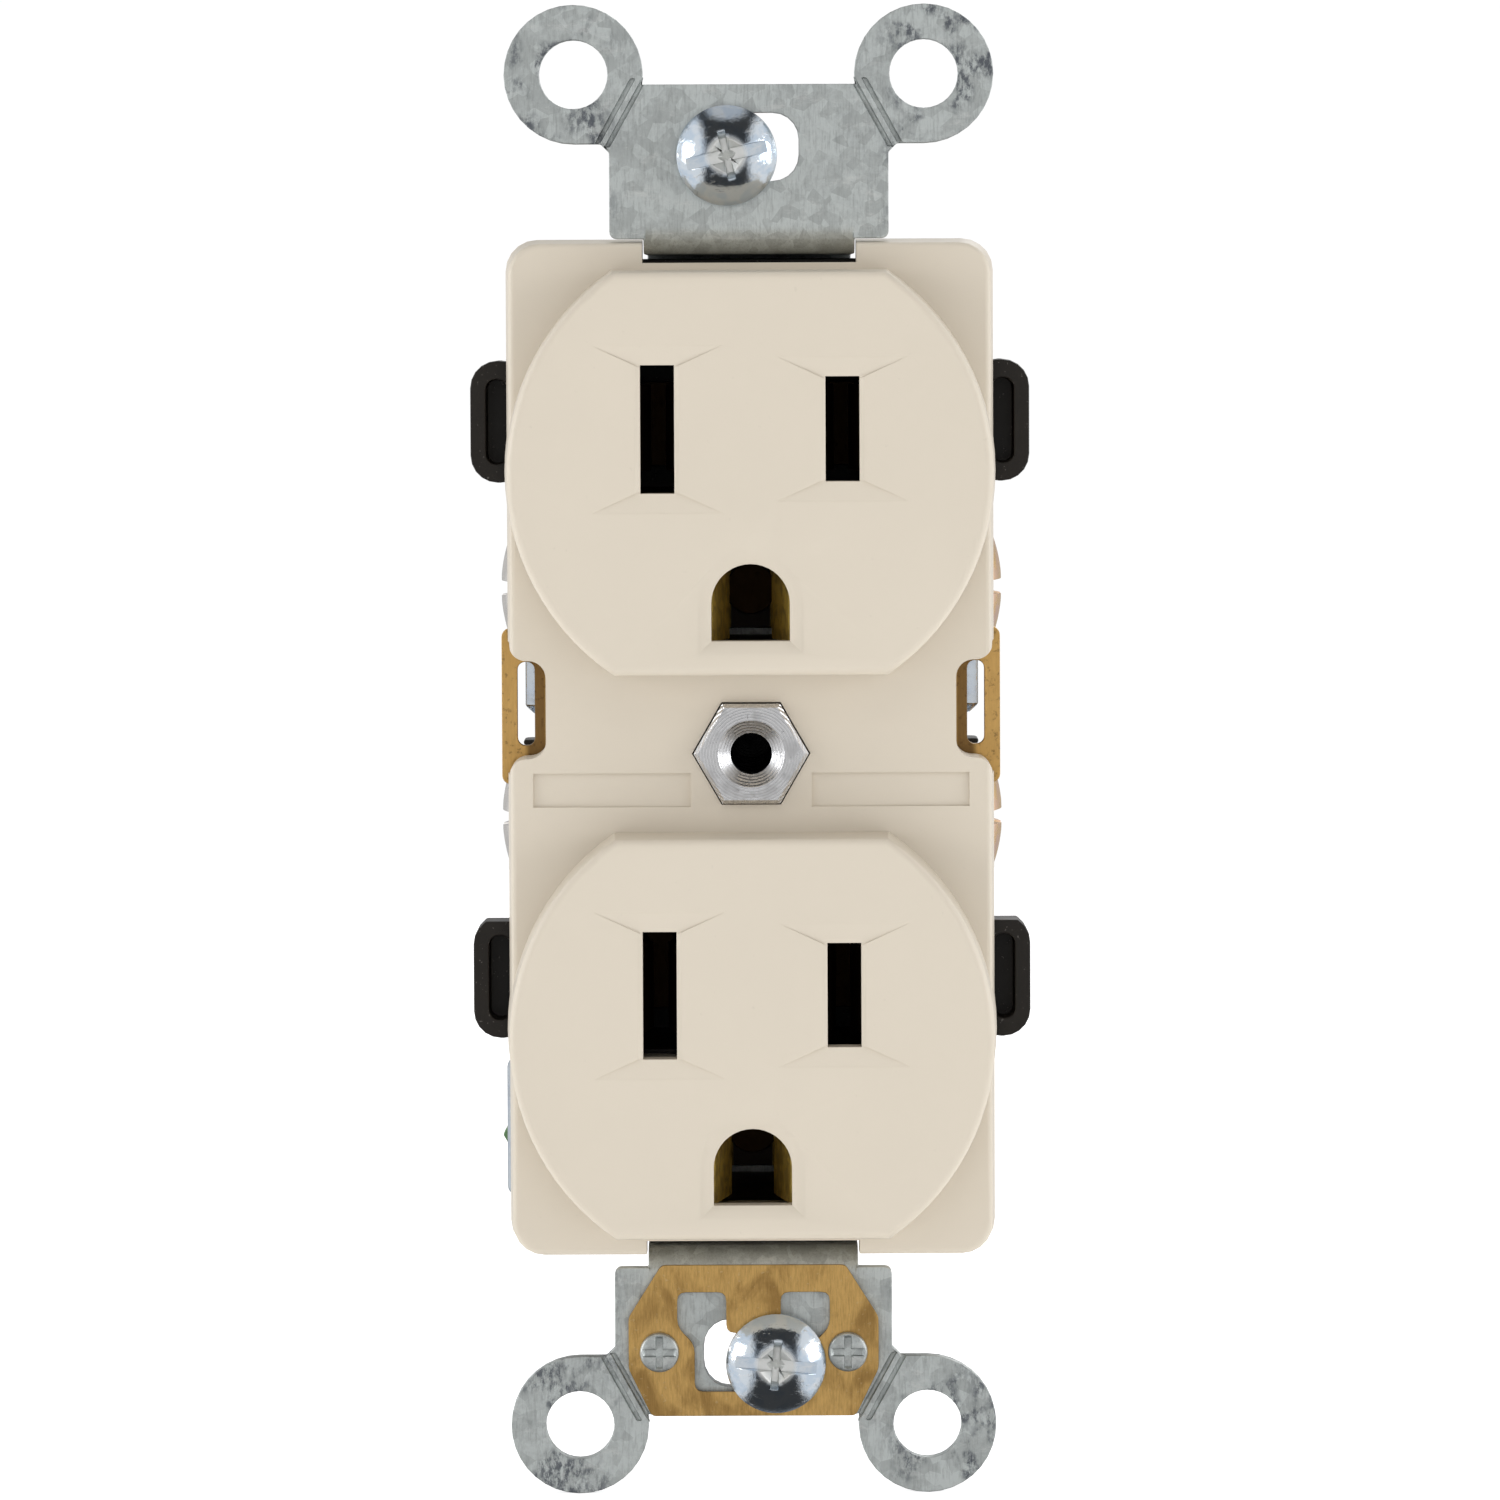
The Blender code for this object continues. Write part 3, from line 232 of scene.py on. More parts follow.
class OutletColours(bpy.types.PropertyGroup):
    """Base colours of the finishes, in linear light."""

    ivory: colour_setting("Ivory", "Moulded cover", (0.62, 0.557, 0.461))
    black: colour_setting("Black", "Moulded body", (0.012, 0.010, 0.008))
    galvanised: colour_setting("Galvanised", "Strap and small rivets", (0.60, 0.635, 0.625))
    zinc: colour_setting("Zinc", "Screws and clamp plates", (0.66, 0.72, 0.78))
    brass: colour_setting("Brass", "Contacts and clip", (0.60, 0.375, 0.130))
    nickel: colour_setting("Nickel", "Neutral terminal screws", (0.72, 0.69, 0.66))
    aluminium: colour_setting("Aluminium", "Centre post", (0.74, 0.74, 0.75))
    green: colour_setting("Green", "Ground screw", (0.17, 0.30, 0.15))
    fibre: colour_setting("Fibre", "Screw keepers", (0.33, 0.09, 0.05))
    floor: colour_setting("Floor", "Plain floor", (0.93, 0.93, 0.93))


def sizes():
    """The sizes set in the sidebar."""
    return bpy.context.scene.outlet_sizes


def colours():
    """The base colours set in the sidebar."""
    return bpy.context.scene.outlet_colours


# ---------------------------------------------------------------- shader expressions


class Value:
    """One socket of a shader, for use in a Python expression."""

    def __init__(self, nodes, socket):
        self.nodes = nodes
        self.socket = socket

    def maths(self, operation, *values):
        """One Math node in the same tree, on values in their order."""
        sockets = dict(enumerate(values))
        return self.nodes.node("ShaderNodeMath", {"operation": operation}, sockets)

    def __add__(self, other):
        return self.maths("ADD", self, other)

    def __sub__(self, other):
        return self.maths("SUBTRACT", self, other)

    def __rsub__(self, other):
        return self.maths("SUBTRACT", other, self)

    def __mul__(self, other):
        return self.maths("MULTIPLY", self, other)

    def __pow__(self, other):
        return self.maths("POWER", self, other)

    def __abs__(self):
        return self.maths("ABSOLUTE", self)

    __radd__ = __add__
    __rmul__ = __mul__


class Nodes:
    """A shader tree. Every node is added by node()."""

    def __init__(self, tree):
        self.tree = tree

    def node(self, kind, settings, sockets, output=0):
        """Adds a node, sets its settings and then its sockets, and returns one of its outputs."""
        made = self.tree.nodes.new(kind)
        for name, value in settings.items():
            setattr(made, name, value)
        for name, value in sockets.items():
            self.feed(made.inputs[name], value)
        return Value(self, made.outputs[output])

    def feed(self, target, value):
        """Links a Value to an input, or sets the input to a plain number or colour."""
        if isinstance(value, Value):
            self.tree.links.new(value.socket, target)
        elif target.type == "RGBA":
            target.default_value = (*value, 1)
        else:
            target.default_value = value

    def between(self, value, low, high):
        """0 below low and 1 above high."""
        sockets = {"Value": value, "From Min": low, "From Max": high}
        settings = {"interpolation_type": "SMOOTHSTEP"}
        return self.node("ShaderNodeMapRange", settings, sockets)

    def mix(self, share, first, second):
        """Colour first where share is 0 and second where it is 1."""
        settings = {"data_type": "RGBA"}
        return self.node("ShaderNodeMix", settings, {0: share, 6: first, 7: second}, 2)


class Finish(Nodes):
    """A material with a Principled shader."""

    def __init__(self, name, metallic):
        self.material = bpy.data.materials.new(name + "_finish")
        self.material.use_nodes = True
        super().__init__(self.material.node_tree)
        self.shader = self.tree.nodes["Principled BSDF"]
        self.constant("Metallic", metallic)

    def constant(self, name, value):
        """Sets an input that is the same all over the piece."""
        self.shader.inputs[name].default_value = value

    def places(self):
        """Position on the piece, in metres."""
        return self.node("ShaderNodeTexCoord", {}, {}, "Object")

    def along(self, axis):
        """Position along X, Y or Z."""
        return self.node("ShaderNodeSeparateXYZ", {}, {"Vector": self.places()}, axis)

    def radius(self, first, second):
        """Distance from the line on which both these positions are zero."""
        return (first * first + second * second) ** 0.5

    def noise(self, size, stretch=(1, 1, 1), detail=4.0, rough=0.55, warp=0.0, shift=(0, 0, 0)):
        """Soft noise whose patches are about size metres, times stretch along each axis."""
        scale = tuple(1 / (size * part) for part in stretch)
        sockets = {"Vector": self.places(), "Scale": scale, "Location": shift}
        spread = self.node("ShaderNodeMapping", {}, sockets)
        sockets = {"Vector": spread, "Scale": 1.0, "Detail": detail, "Roughness": rough}
        sockets["Distortion"] = warp
        return self.node("ShaderNodeTexNoise", {}, sockets, "Fac")

    def cells(self, size):
        """Flat crystals, each with its own shade."""
        sockets = {"Vector": self.places(), "Scale": 1 / size}
        crystal = self.node("ShaderNodeTexVoronoi", {"feature": "F1"}, sockets, "Color")
        return self.node("ShaderNodeSeparateColor", {}, {"Color": crystal}, "Red")

    def colour(self, value):
        """Sets the base colour."""
        self.feed(self.shader.inputs["Base Color"], value)

    def roughness(self, value):
        """Sets how dull the surface is, from 0 to 1."""
        self.feed(self.shader.inputs["Roughness"], value)

    def relief(self, height, depth):
        """Raises the surface by depth metres where height is 1."""
        bump = self.node("ShaderNodeBump", {}, {"Height": height, "Distance": depth})
        self.feed(self.shader.inputs["Normal"], bump)


def shade(colour, factor):
    """A colour made lighter or darker by factor."""
    return tuple(min(1.0, part * factor) for part in colour)


# ---------------------------------------------------------------- finishes


def ivory_plastic():
    """Satin moulded plastic: faint clouding, a fine skin and a few rubbed patches."""
    ivory = tuple(colours().ivory)
    finish = Finish("ivory_plastic", metallic=0.0)
    cloud = finish.noise(14 * MM, detail=3.0)
    speck = finish.between(finish.noise(0.5 * MM, detail=2.0, shift=(3, 1, 2)), 0.72, 0.8)
    tone = finish.mix(cloud, shade(ivory, 0.97), shade(ivory, 1.03))
    finish.colour(finish.mix(speck * 0.25, tone, shade(ivory, 0.8)))
    skin = finish.noise(0.16 * MM, detail=3.0, rough=0.6)
    rubbed = finish.between(finish.noise(5 * MM, detail=5.0, shift=(7, 0, 4)), 0.5, 0.75)
    finish.roughness(0.36 + 0.08 * skin - 0.08 * rubbed)
    finish.relief(skin + 2.0 * cloud, 0.005 * MM)
    return finish.material


def black_plastic():
    """Half-gloss black moulding with fine dust and flow marks."""
    black = tuple(colours().black)
    finish = Finish("black_plastic", metallic=0.0)
    flow = finish.noise(2.0 * MM, stretch=(1, 2.5, 1), detail=4.0)
    dust = finish.between(finish.noise(0.22 * MM, detail=1.0, shift=(5, 2, 8)), 0.71, 0.76)
    tone = finish.mix(flow, shade(black, 0.8), shade(black, 1.5))
    finish.colour(finish.mix(dust * 0.5, tone, DUST))
    skin = finish.noise(0.25 * MM, detail=3.0)
    finish.roughness(0.30 + 0.16 * flow + 0.3 * dust)
    finish.constant("Specular IOR Level", 0.22)
    finish.relief(skin + dust, 0.006 * MM)
    return finish.material


def galvanised_steel():
    """Dull zinc skin: crystals, rolling streaks, pale scuffs and, on the ears, dark rubbed smudges."""
    zinc = tuple(colours().galvanised)
    finish = Finish("galvanised_steel", metallic=0.92)
    ears = finish.between(abs(finish.along("X")), 8.5 * MM, 11.0 * MM)
    crystals = finish.cells(0.9 * MM)
    cloud = finish.noise(2.6 * MM, detail=7.0, rough=0.7, warp=0.8)
    grain = finish.noise(0.3 * MM, detail=5.0, rough=0.7, shift=(3, 3, 3))
    streaks = finish.noise(0.14 * MM, stretch=(1, 1, 10), detail=4.0, rough=0.75)
    patch = finish.between(finish.noise(3.2 * MM, detail=3.0, warp=0.4, shift=(2, 5, 1)), 0.44, 0.6)
    fleck = finish.noise(0.4 * MM, stretch=(1, 1, 2.0), detail=6.0, rough=0.75, shift=(1, 4, 9))
    smudge = patch * (0.12 + 0.88 * ears) * finish.between(fleck, 0.42, 0.6)
    scuff = finish.noise(1.3 * MM, stretch=(2.4, 1, 1), detail=7.0, rough=0.8, shift=(8, 8, 3))
    pale = finish.between(scuff, 0.53, 0.66)
    mottle = finish.between(0.2 * crystals + 0.5 * cloud + 0.3 * grain, 0.38, 0.62)
    tone = finish.mix(mottle, shade(zinc, 0.86), shade(zinc, 1.12))
    tone = finish.mix(finish.between(streaks, 0.48, 0.66) * 0.35, tone, shade(zinc, 0.5))
    tone = finish.mix(0.45 * pale, tone, PALE_SCUFF)
    finish.colour(finish.mix(0.85 * smudge, tone, DARK_SMUDGE))
    finish.roughness(0.34 + 0.16 * cloud + 0.14 * streaks + 0.1 * pale)
    finish.relief(0.6 * streaks + 0.8 * cloud + 0.4 * grain - 0.5 * smudge, 0.016 * MM)
    return finish.material


def zinc_plate():
    """Bright zinc plating with small dents and a bluish cast in places."""
    zinc = tuple(colours().zinc)
    finish = Finish("zinc_plate", metallic=1.0)
    cloud = finish.noise(1.4 * MM, detail=5.0, rough=0.6, warp=0.8)
    dents = finish.noise(0.35 * MM, detail=3.0)
    blue = finish.between(finish.noise(1.1 * MM, detail=2.0, shift=(4, 4, 4)), 0.45, 0.7)
    tone = finish.mix(0.6 * blue, zinc, PLATE_BLUE)
    finish.colour(finish.mix(0.4 * finish.between(cloud, 0.5, 0.7), tone, shade(zinc, 0.72)))
    finish.roughness(0.06 + 0.14 * cloud + 0.06 * dents)
    finish.relief(0.6 * dents + cloud, 0.014 * MM)
    return finish.material


def zinc_screw():
    """Bright zinc on a screw's dome, frosted where the driver has pressed the pit."""
    zinc = tuple(colours().zinc)
    finish = Finish("zinc_screw", metallic=1.0)
    from_axis = finish.radius(finish.along("X"), finish.along("Y"))
    pit = 1 - finish.between(from_axis, 1.1 * MM, 1.6 * MM)
    cloud = finish.noise(1.2 * MM, detail=5.0, rough=0.6, warp=0.8)
    dents = finish.noise(0.3 * MM, detail=4.0)
    blue = finish.between(finish.noise(1.1 * MM, detail=2.0, shift=(4, 4, 4)), 0.42, 0.62)
    scratches = finish.noise(0.5 * MM, stretch=(3, 1, 1), detail=5.0, shift=(1, 6, 2))
    scars = finish.between(scratches, 0.56, 0.68)
    tone = finish.mix(0.7 * blue, zinc, SCREW_BLUE)
    tone = finish.mix(0.35 * scars, tone, ZINC_SCAR)
    finish.colour(finish.mix(pit, tone, FROSTED_ZINC))
    finish.roughness(0.05 + 0.12 * cloud + 0.14 * scars + 0.32 * pit)
    finish.relief(0.7 * dents + cloud + 0.4 * scars, 0.014 * MM)
    return finish.material


def strip_brass():
    """Rolled brass: fine rolling lines, brown stain and bright worn spots."""
    brass = tuple(colours().brass)
    finish = Finish("strip_brass", metallic=1.0)
    lines = finish.noise(0.11 * MM, stretch=(1, 1, 9), detail=5.0, rough=0.75)
    clouds = finish.noise(2.4 * MM, stretch=(1, 1, 1.5), detail=7.0, warp=0.6)
    stain = finish.between(clouds, 0.42, 0.68)
    pits = finish.between(finish.noise(0.3 * MM, detail=4.0, shift=(6, 1, 3)), 0.62, 0.72)
    tone = finish.mix(finish.between(lines, 0.35, 0.7), shade(brass, 1.14), shade(brass, 0.84))
    tone = finish.mix(0.5 * stain, tone, BROWN_STAIN)
    finish.colour(finish.mix(0.5 * pits, tone, WORN_BRASS))
    finish.roughness(0.27 + 0.16 * stain + 0.12 * lines)
    finish.relief(0.7 * lines + 0.8 * pits, 0.008 * MM)
    return finish.material


def contact_brass():
    """Spring brass: pitted at the sides and the back, and painted lighter there as a painted
    highlight; painted dark brown inside the body as painted shade, with a painted shadow band on each
    tab.
    """
    brass = tuple(colours().brass)
    finish = Finish("contact_brass", metallic=0.95)
    far = abs(finish.along("X"))
    behind = finish.between(finish.along("Y"), 20 * MM, 21 * MM)
    beside = finish.between(far, 12.2 * MM, 13.0 * MM)
    outside = beside.maths("MAXIMUM", beside, behind)
    lines = finish.noise(0.12 * MM, stretch=(1, 1, 10), detail=4.0, rough=0.7)
    blotches = finish.noise(1.6 * MM, detail=5.0, warp=0.6)
    pits = finish.between(finish.noise(0.35 * MM, detail=4.0, shift=(6, 1, 3)), 0.58, 0.7)
    # Painted shade: inside the body the brass is painted dark brown to near black, in blotches.
    painted_shade_inside = finish.mix(blotches, DEEP_PAINTED_SHADE, SOFT_PAINTED_SHADE)
    # Painted highlight: outside the body the brass is painted lighter, up to 1.4 times its colour.
    outer = finish.mix(0.6 * lines + 0.3 * blotches, shade(brass, 1.4), shade(brass, 0.85))
    outer = finish.mix(0.6 * pits, outer, BRASS_PIT)
    # Painted shadow: a band on the inner edge of each tab, where the cover shades it, is painted dark
    # brown.
    tab_shadow = finish.between(far, 14.2 * MM, 14.5 * MM) * (1 - finish.between(far, 15.4 * MM, 15.9 * MM))
    outer = finish.mix(0.75 * tab_shadow, outer, TAB_PAINTED_SHADOW)
    finish.colour(finish.mix(outside, painted_shade_inside, outer))
    finish.roughness(0.3 + 0.2 * blotches + 0.1 * lines)
    finish.relief(0.6 * lines - pits, 0.010 * MM)
    return finish.material


def grip_brass():
    """Spring brass of the ground grips: golden on the cheeks, painted dark brown between them as
    painted shade.
    """
    finish = Finish("grip_brass", metallic=0.35)
    cheek = finish.between(abs(finish.along("X")), 1.35 * MM, 1.5 * MM)
    lines = finish.noise(0.12 * MM, stretch=(1, 1, 10), detail=4.0, rough=0.7)
    stain = finish.between(finish.noise(1.2 * MM, detail=5.0, warp=0.5), 0.35, 0.65)
    golden = finish.mix(0.7 * stain, CHEEK_GOLD, CHEEK_STAIN)
    # Painted shade: the web deep between the cheeks is painted near black brown.
    finish.colour(finish.mix(cheek, GRIP_PAINTED_SHADE, golden))
    finish.roughness(0.35 + 0.2 * lines)
    finish.relief(lines, 0.008 * MM)
    return finish.material


def screw_brass():
    """Plated screw: yellow with a rosy tarnish."""
    brass = tuple(colours().brass)
    finish = Finish("screw_brass", metallic=1.0)
    cloud = finish.noise(1.5 * MM, detail=4.0, warp=0.5)
    dents = finish.noise(0.3 * MM, detail=3.0)
    rosy = finish.mix(finish.between(cloud, 0.4, 0.65), shade(brass, 1.3), ROSY_TARNISH)
    finish.colour(finish.mix(0.3 * dents, rosy, shade(brass, 0.7)))
    finish.roughness(0.2 + 0.15 * cloud)
    finish.relief(dents, 0.008 * MM)
    return finish.material


def nickel_plate():
    """Warm silver plating with a light haze."""
    nickel = tuple(colours().nickel)
    finish = Finish("nickel_plate", metallic=1.0)
    haze = finish.noise(1.2 * MM, detail=5.0, warp=0.4)
    dents = finish.noise(0.3 * MM, detail=3.0)
    finish.colour(finish.mix(haze, shade(nickel, 0.85), shade(nickel, 1.12)))
    finish.roughness(0.16 + 0.18 * haze)
    finish.relief(dents, 0.008 * MM)
    return finish.material


def turned_aluminium():
    """Machined aluminium with fine rings round the post's axis, and the bore painted nearly black as
    painted shade.
    """
    metal = tuple(colours().aluminium)
    finish = Finish("turned_aluminium", metallic=1.0)
    from_axis = finish.radius(finish.along("X"), finish.along("Z"))
    depth = finish.along("Y")
    wobble = finish.noise(0.9 * MM, detail=3.0)
    rings = from_axis.maths("SINE", from_axis * (2 * math.pi / (0.2 * MM)) + 5.0 * wobble)
    dull = finish.between(finish.noise(1.3 * MM, detail=5.0, shift=(9, 3, 5)), 0.45, 0.7)
    nicks = finish.between(finish.noise(0.4 * MM, detail=4.0, shift=(2, 2, 6)), 0.6, 0.72)
    tone = finish.mix(0.5 * dull, metal, shade(metal, 0.66))
    tone = finish.mix(0.2 * rings + 0.2, tone, shade(metal, 0.7))
    tone = finish.mix(0.5 * nicks, tone, shade(metal, 0.5))
    # Painted shade: the bore, down to 17 mm deep, is painted nearly black.
    bore_shade = finish.between(depth, -2.5 * MM, 0.3 * MM) * (1 - finish.between(depth, 17 * MM, 18 * MM))
    bore_shade = bore_shade * (1 - finish.between(from_axis, 1.5 * MM, 1.7 * MM))
    finish.colour(finish.mix(bore_shade, tone, shade(metal, 0.02)))
    finish.roughness(0.26 + 0.16 * dull + 0.06 * nicks)
    finish.relief(rings - nicks, 0.008 * MM)
    return finish.material


def green_passivate():
    """Green dip over zinc, thin on the corners."""
    green = tuple(colours().green)
    finish = Finish("green_passivate", metallic=0.85)
    cloud = finish.noise(1.2 * MM, detail=5.0, warp=0.6)
    dents = finish.noise(0.3 * MM, detail=3.0)
    thin = finish.between(finish.noise(0.8 * MM, detail=4.0, shift=(2, 7, 7)), 0.58, 0.75)
    tone = finish.mix(cloud, shade(green, 0.8), shade(green, 1.3))
    finish.colour(finish.mix(0.6 * thin, tone, THIN_GREEN))
    finish.roughness(0.28 + 0.2 * cloud)
    finish.relief(dents, 0.008 * MM)
    return finish.material


def red_fibre():
    """Pressed fibre sheet: matt, with short crossing hairs."""
    fibre = tuple(colours().fibre)
    finish = Finish("red_fibre", metallic=0.0)
    along = finish.noise(0.08 * MM, stretch=(8, 1, 1), detail=4.0)
    across = finish.noise(0.08 * MM, stretch=(1, 1, 8), detail=4.0, shift=(4, 4, 4))
    hairs = 0.5 * along + 0.5 * across
    finish.colour(finish.mix(hairs, shade(fibre, 0.6), shade(fibre, 1.5)))
    finish.roughness(0.78 + 0.15 * hairs)
    finish.relief(hairs, 0.02 * MM)
    return finish.material


def floor_paint():
    """Pale matt paper, lifted to the white of the room."""
    pale = tuple(colours().floor)
    finish = Finish("floor_paint", metallic=0.0)
    cloud = finish.noise(60 * MM, detail=2.0)
    finish.colour(finish.mix(cloud, shade(pale, 0.99), pale))
    finish.roughness(0.9 + 0.05 * cloud)
    finish.constant("Emission Color", WHITE)
    finish.constant("Emission Strength", FLOOR_GLOW)
    return finish.material


def finish_of(maker):
    """The maker's material, made once."""
    return bpy.data.materials.get(maker.__name__ + "_finish") or maker()


# ---------------------------------------------------------------- shapes


def smooth_faces():
    """A node group that shades smoothly over every edge but the sharp ones."""
    group = bpy.data.node_groups.get("smooth_faces")
    if group:
        return group
    group = bpy.data.node_groups.new("smooth_faces", "GeometryNodeTree")
    group.interface.new_socket("Geometry", in_out="INPUT", socket_type="NodeSocketGeometry")
    group.interface.new_socket("Geometry", in_out="OUTPUT", socket_type="NodeSocketGeometry")
    nodes = Nodes(group)
    angle = nodes.node("GeometryNodeInputMeshEdgeAngle", {}, {}, "Unsigned Angle")
    sharp = angle.maths("GREATER_THAN", angle, math.radians(SMOOTH_BELOW))
    entry = nodes.node("NodeGroupInput", {}, {})
    sockets = {"Geometry": entry, "Shade Smooth": True}
    smooth = nodes.node("GeometryNodeSetShadeSmooth", {"domain": "FACE"}, sockets)
    sockets = {"Geometry": smooth, "Selection": sharp, "Shade Smooth": False}
    creased = nodes.node("GeometryNodeSetShadeSmooth", {"domain": "EDGE"}, sockets)
    leave = group.nodes.new("NodeGroupOutput")
    nodes.feed(leave.inputs[0], creased)
    return group


def modifier(piece, name, kind, **settings):
    """Adds one modifier with its settings."""
    made = piece.modifiers.new(name, kind)
    for key, value in settings.items():
        setattr(made, key, value)
    return made


def round_edges(piece, width, angle, **settings):
    """Rounds the edges that turn by more than angle degrees."""
    limit = {"limit_method": "ANGLE", "angle_limit": math.radians(angle)}
    modifier(piece, "edges", "BEVEL", width=width, segments=EDGE_SEGMENTS, **limit, **settings)


def even_shading(piece, weight):
    """Shades smoothly over soft edges, led by the large faces."""
    modifier(piece, "smooth", "NODES", node_group=smooth_faces())
    modifier(piece, "normals", "WEIGHTED_NORMAL", keep_sharp=True, weight=weight)


def ease_edges(piece, width):
    """Rounds a CAD node's edges, where width isn't zero, and evens out its shading."""
    modifier(piece, "weld", "WELD", merge_threshold=WELD_DISTANCE)
    if width:
        flat = math.radians(FLAT_BELOW)
        modifier(piece, "flats", "DECIMATE", decimate_type="DISSOLVE", angle_limit=flat)
        round_edges(piece, width, EDGE_ABOVE, use_clamp_overlap=False, miter_outer="MITER_ARC")
    even_shading(piece, KEPT_WEIGHT)


def coat(piece, maker):
    """Gives a new piece the finish that maker makes."""
    piece.data.materials.clear()
    piece.data.materials.append(finish_of(maker))


def keep_node(name, maker, width):
    """A CAD node that stays, with edges eased to width and its own finish."""
    node = frame["nodes"][name]
    material = finish_of(maker)
    if not node.material_slots:
        node.data.materials.append(material)
    for slot in node.material_slots:
        slot.material = material
    ease_edges(node, width)


def new_piece(name, bm):
    """An object made from bm, which is freed."""
    mesh = bpy.data.meshes.new(name)
    bmesh.ops.recalc_face_normals(bm, faces=bm.faces)
    bm.to_mesh(mesh)
    bm.free()
    piece = bpy.data.objects.new(name, mesh)
    bpy.context.scene.collection.objects.link(piece)
    return piece


def lathe(bm, profile):
    """Turns (radius, height) points round Z. The first and the last point lie on the axis."""
    rings = []
    for radius, height in profile:
        if radius == 0:
            rings.append([bm.verts.new((0, 0, height))])
            continue
        angles = (2 * math.pi * i / ROUND_STEPS for i in range(ROUND_STEPS))
        places = ((radius * math.cos(a), radius * math.sin(a), height) for a in angles)
        rings.append([bm.verts.new(place) for place in places])
    for above, below in zip(rings, rings[1:]):
        for i in range(ROUND_STEPS):
            j = (i + 1) % ROUND_STEPS
            corners = [above[i % len(above)], above[j % len(above)]]
            corners += [below[j % len(below)], below[i % len(below)]]
            bm.faces.new(list(dict.fromkeys(corners)))


def thread(bm, radius, start, end, tip):
    """A threaded rod along -Z, tapering over its last tip metres."""
    pitch, depth = sizes().thread_pitch, sizes().thread_depth
    length = start - end
    rows = max(2, round(length / pitch * THREAD_ROWS))
    rings = []
    for row in range(rows + 1):
        z = start - length * row / rows
        taper = min(1.0, (z - end) / tip)
        ring = []
        for i in range(THREAD_SIDES):
            turn = i / THREAD_SIDES
            phase = (z / pitch - turn) % 1
            ridge = min(1.0, THREAD_CREST * (1 - abs(2 * phase - 1)))
            r = (radius - depth * (1 - ridge)) * (1 - TIP_SHRINK + TIP_SHRINK * taper)
            angle = 2 * math.pi * turn
            ring.append(bm.verts.new((r * math.cos(angle), r * math.sin(angle), z)))
        rings.append(ring)
    for above, below in zip(rings, rings[1:]):
        for i in range(THREAD_SIDES):
            j = (i + 1) % THREAD_SIDES
            bm.faces.new((above[i], above[j], below[j], below[i]))
    bm.faces.new(rings[0])
    bm.faces.new(reversed(rings[-1]))


def wedge(bm, top, bottom, z_top, z_bottom):
    """A tapered bar between two (half x, half y) rectangles."""
    rings = []
    for (half_x, half_y), z in ((top, z_top), (bottom, z_bottom)):
        corners = ((-half_x, -half_y), (half_x, -half_y), (half_x, half_y), (-half_x, half_y))
        rings.append([bm.verts.new((x, y, z)) for x, y in corners])
    bm.faces.new(rings[0])
    bm.faces.new(reversed(rings[1]))
    for i in range(4):
        j = (i + 1) % 4
        bm.faces.new((rings[0][i], rings[0][j], rings[1][j], rings[1][i]))


def carve(piece, cutter):
    """Cuts one closed piece out of another and throws the cutter away."""
    modifier(piece, "cut", "BOOLEAN", operation="DIFFERENCE", solver="EXACT", object=cutter)
    evaluated = piece.evaluated_get(bpy.context.evaluated_depsgraph_get())
    carved = bpy.data.meshes.new_from_object(evaluated)
    piece.modifiers.clear()
    old, piece.data = piece.data, carved
    bpy.data.meshes.remove(old)
    bpy.data.objects.remove(cutter)


def domed_head(radius, rim, rise):
    """Profile of a pan head, from the top of its axis to its flat underside."""
    sphere = (radius * radius + rise * rise) / (2 * rise)
    widest = math.asin(radius / sphere)
    angles = [widest * i / CROWN_STEPS for i in range(CROWN_STEPS)]
    crown = [(sphere * math.sin(a), rim + rise - sphere * (1 - math.cos(a))) for a in angles]
    ease = min(RIM_EASE, rim / 3)
    side = [(radius - 0.2 * ease, rim + 0.1 * ease), (radius, rim - ease)]
    return crown + side + [(radius, ease), (radius - ease, 0), (0, 0)]


def seat_of(node, outward, head_height):
    """Where a screw's head sits, from its CAD box: the middle of the head, below its top."""
    low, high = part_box(node)
    middle = (low + high) / 2
    along = max(low.dot(outward), high.dot(outward)) - head_height
    return middle - outward * middle.dot(outward) + outward * along


def shank_length(node, outward, head_height):
    """How far a screw reaches below its head, from its CAD box."""
    low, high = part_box(node)
    return abs((high - low).dot(outward)) - head_height


def cut_combination_drive(head, top, kind):
    """A slot across the head, a short bar square to it and a four-sided pit at the middle."""
    half, reach, depth = kind["slot_half"], kind["slot_reach"], kind["drive_depth"]
    slot = ((reach, half), (reach, half * SLOT_FLOOR), depth * SLOT_SHARE)
    mouth = (half * BAR_MOUTH[0], BAR_MOUTH[1])
    bar = (mouth, (half * BAR_FLOOR[0], BAR_FLOOR[1]), depth * BAR_SHARE)
    for upper, lower, deep in (slot, bar):
        bm = bmesh.new()
        wedge(bm, upper, lower, top + CUTTER_ABOVE, top - deep)
        carve(head, new_piece("drive_bar", bm))
    bm = bmesh.new()
    widen = 1 + CUTTER_ABOVE / depth
    middle = Matrix.Translation((0, 0, top - depth + depth * widen / 2))
    bmesh.ops.create_cone(
        bm,
        segments=4,
        radius1=PIT_TIP,
        radius2=PIT_RADIUS * widen,
        depth=depth * widen,
        cap_ends=True,
        matrix=middle @ Matrix.Rotation(math.pi / 2, 4, "Z"),
    )
    carve(head, new_piece("drive_pit", bm))


def facing(outward):
    """The turn that takes +Z to outward."""
    return Vector((0, 0, 1)).rotation_difference(outward).to_matrix().to_4x4()


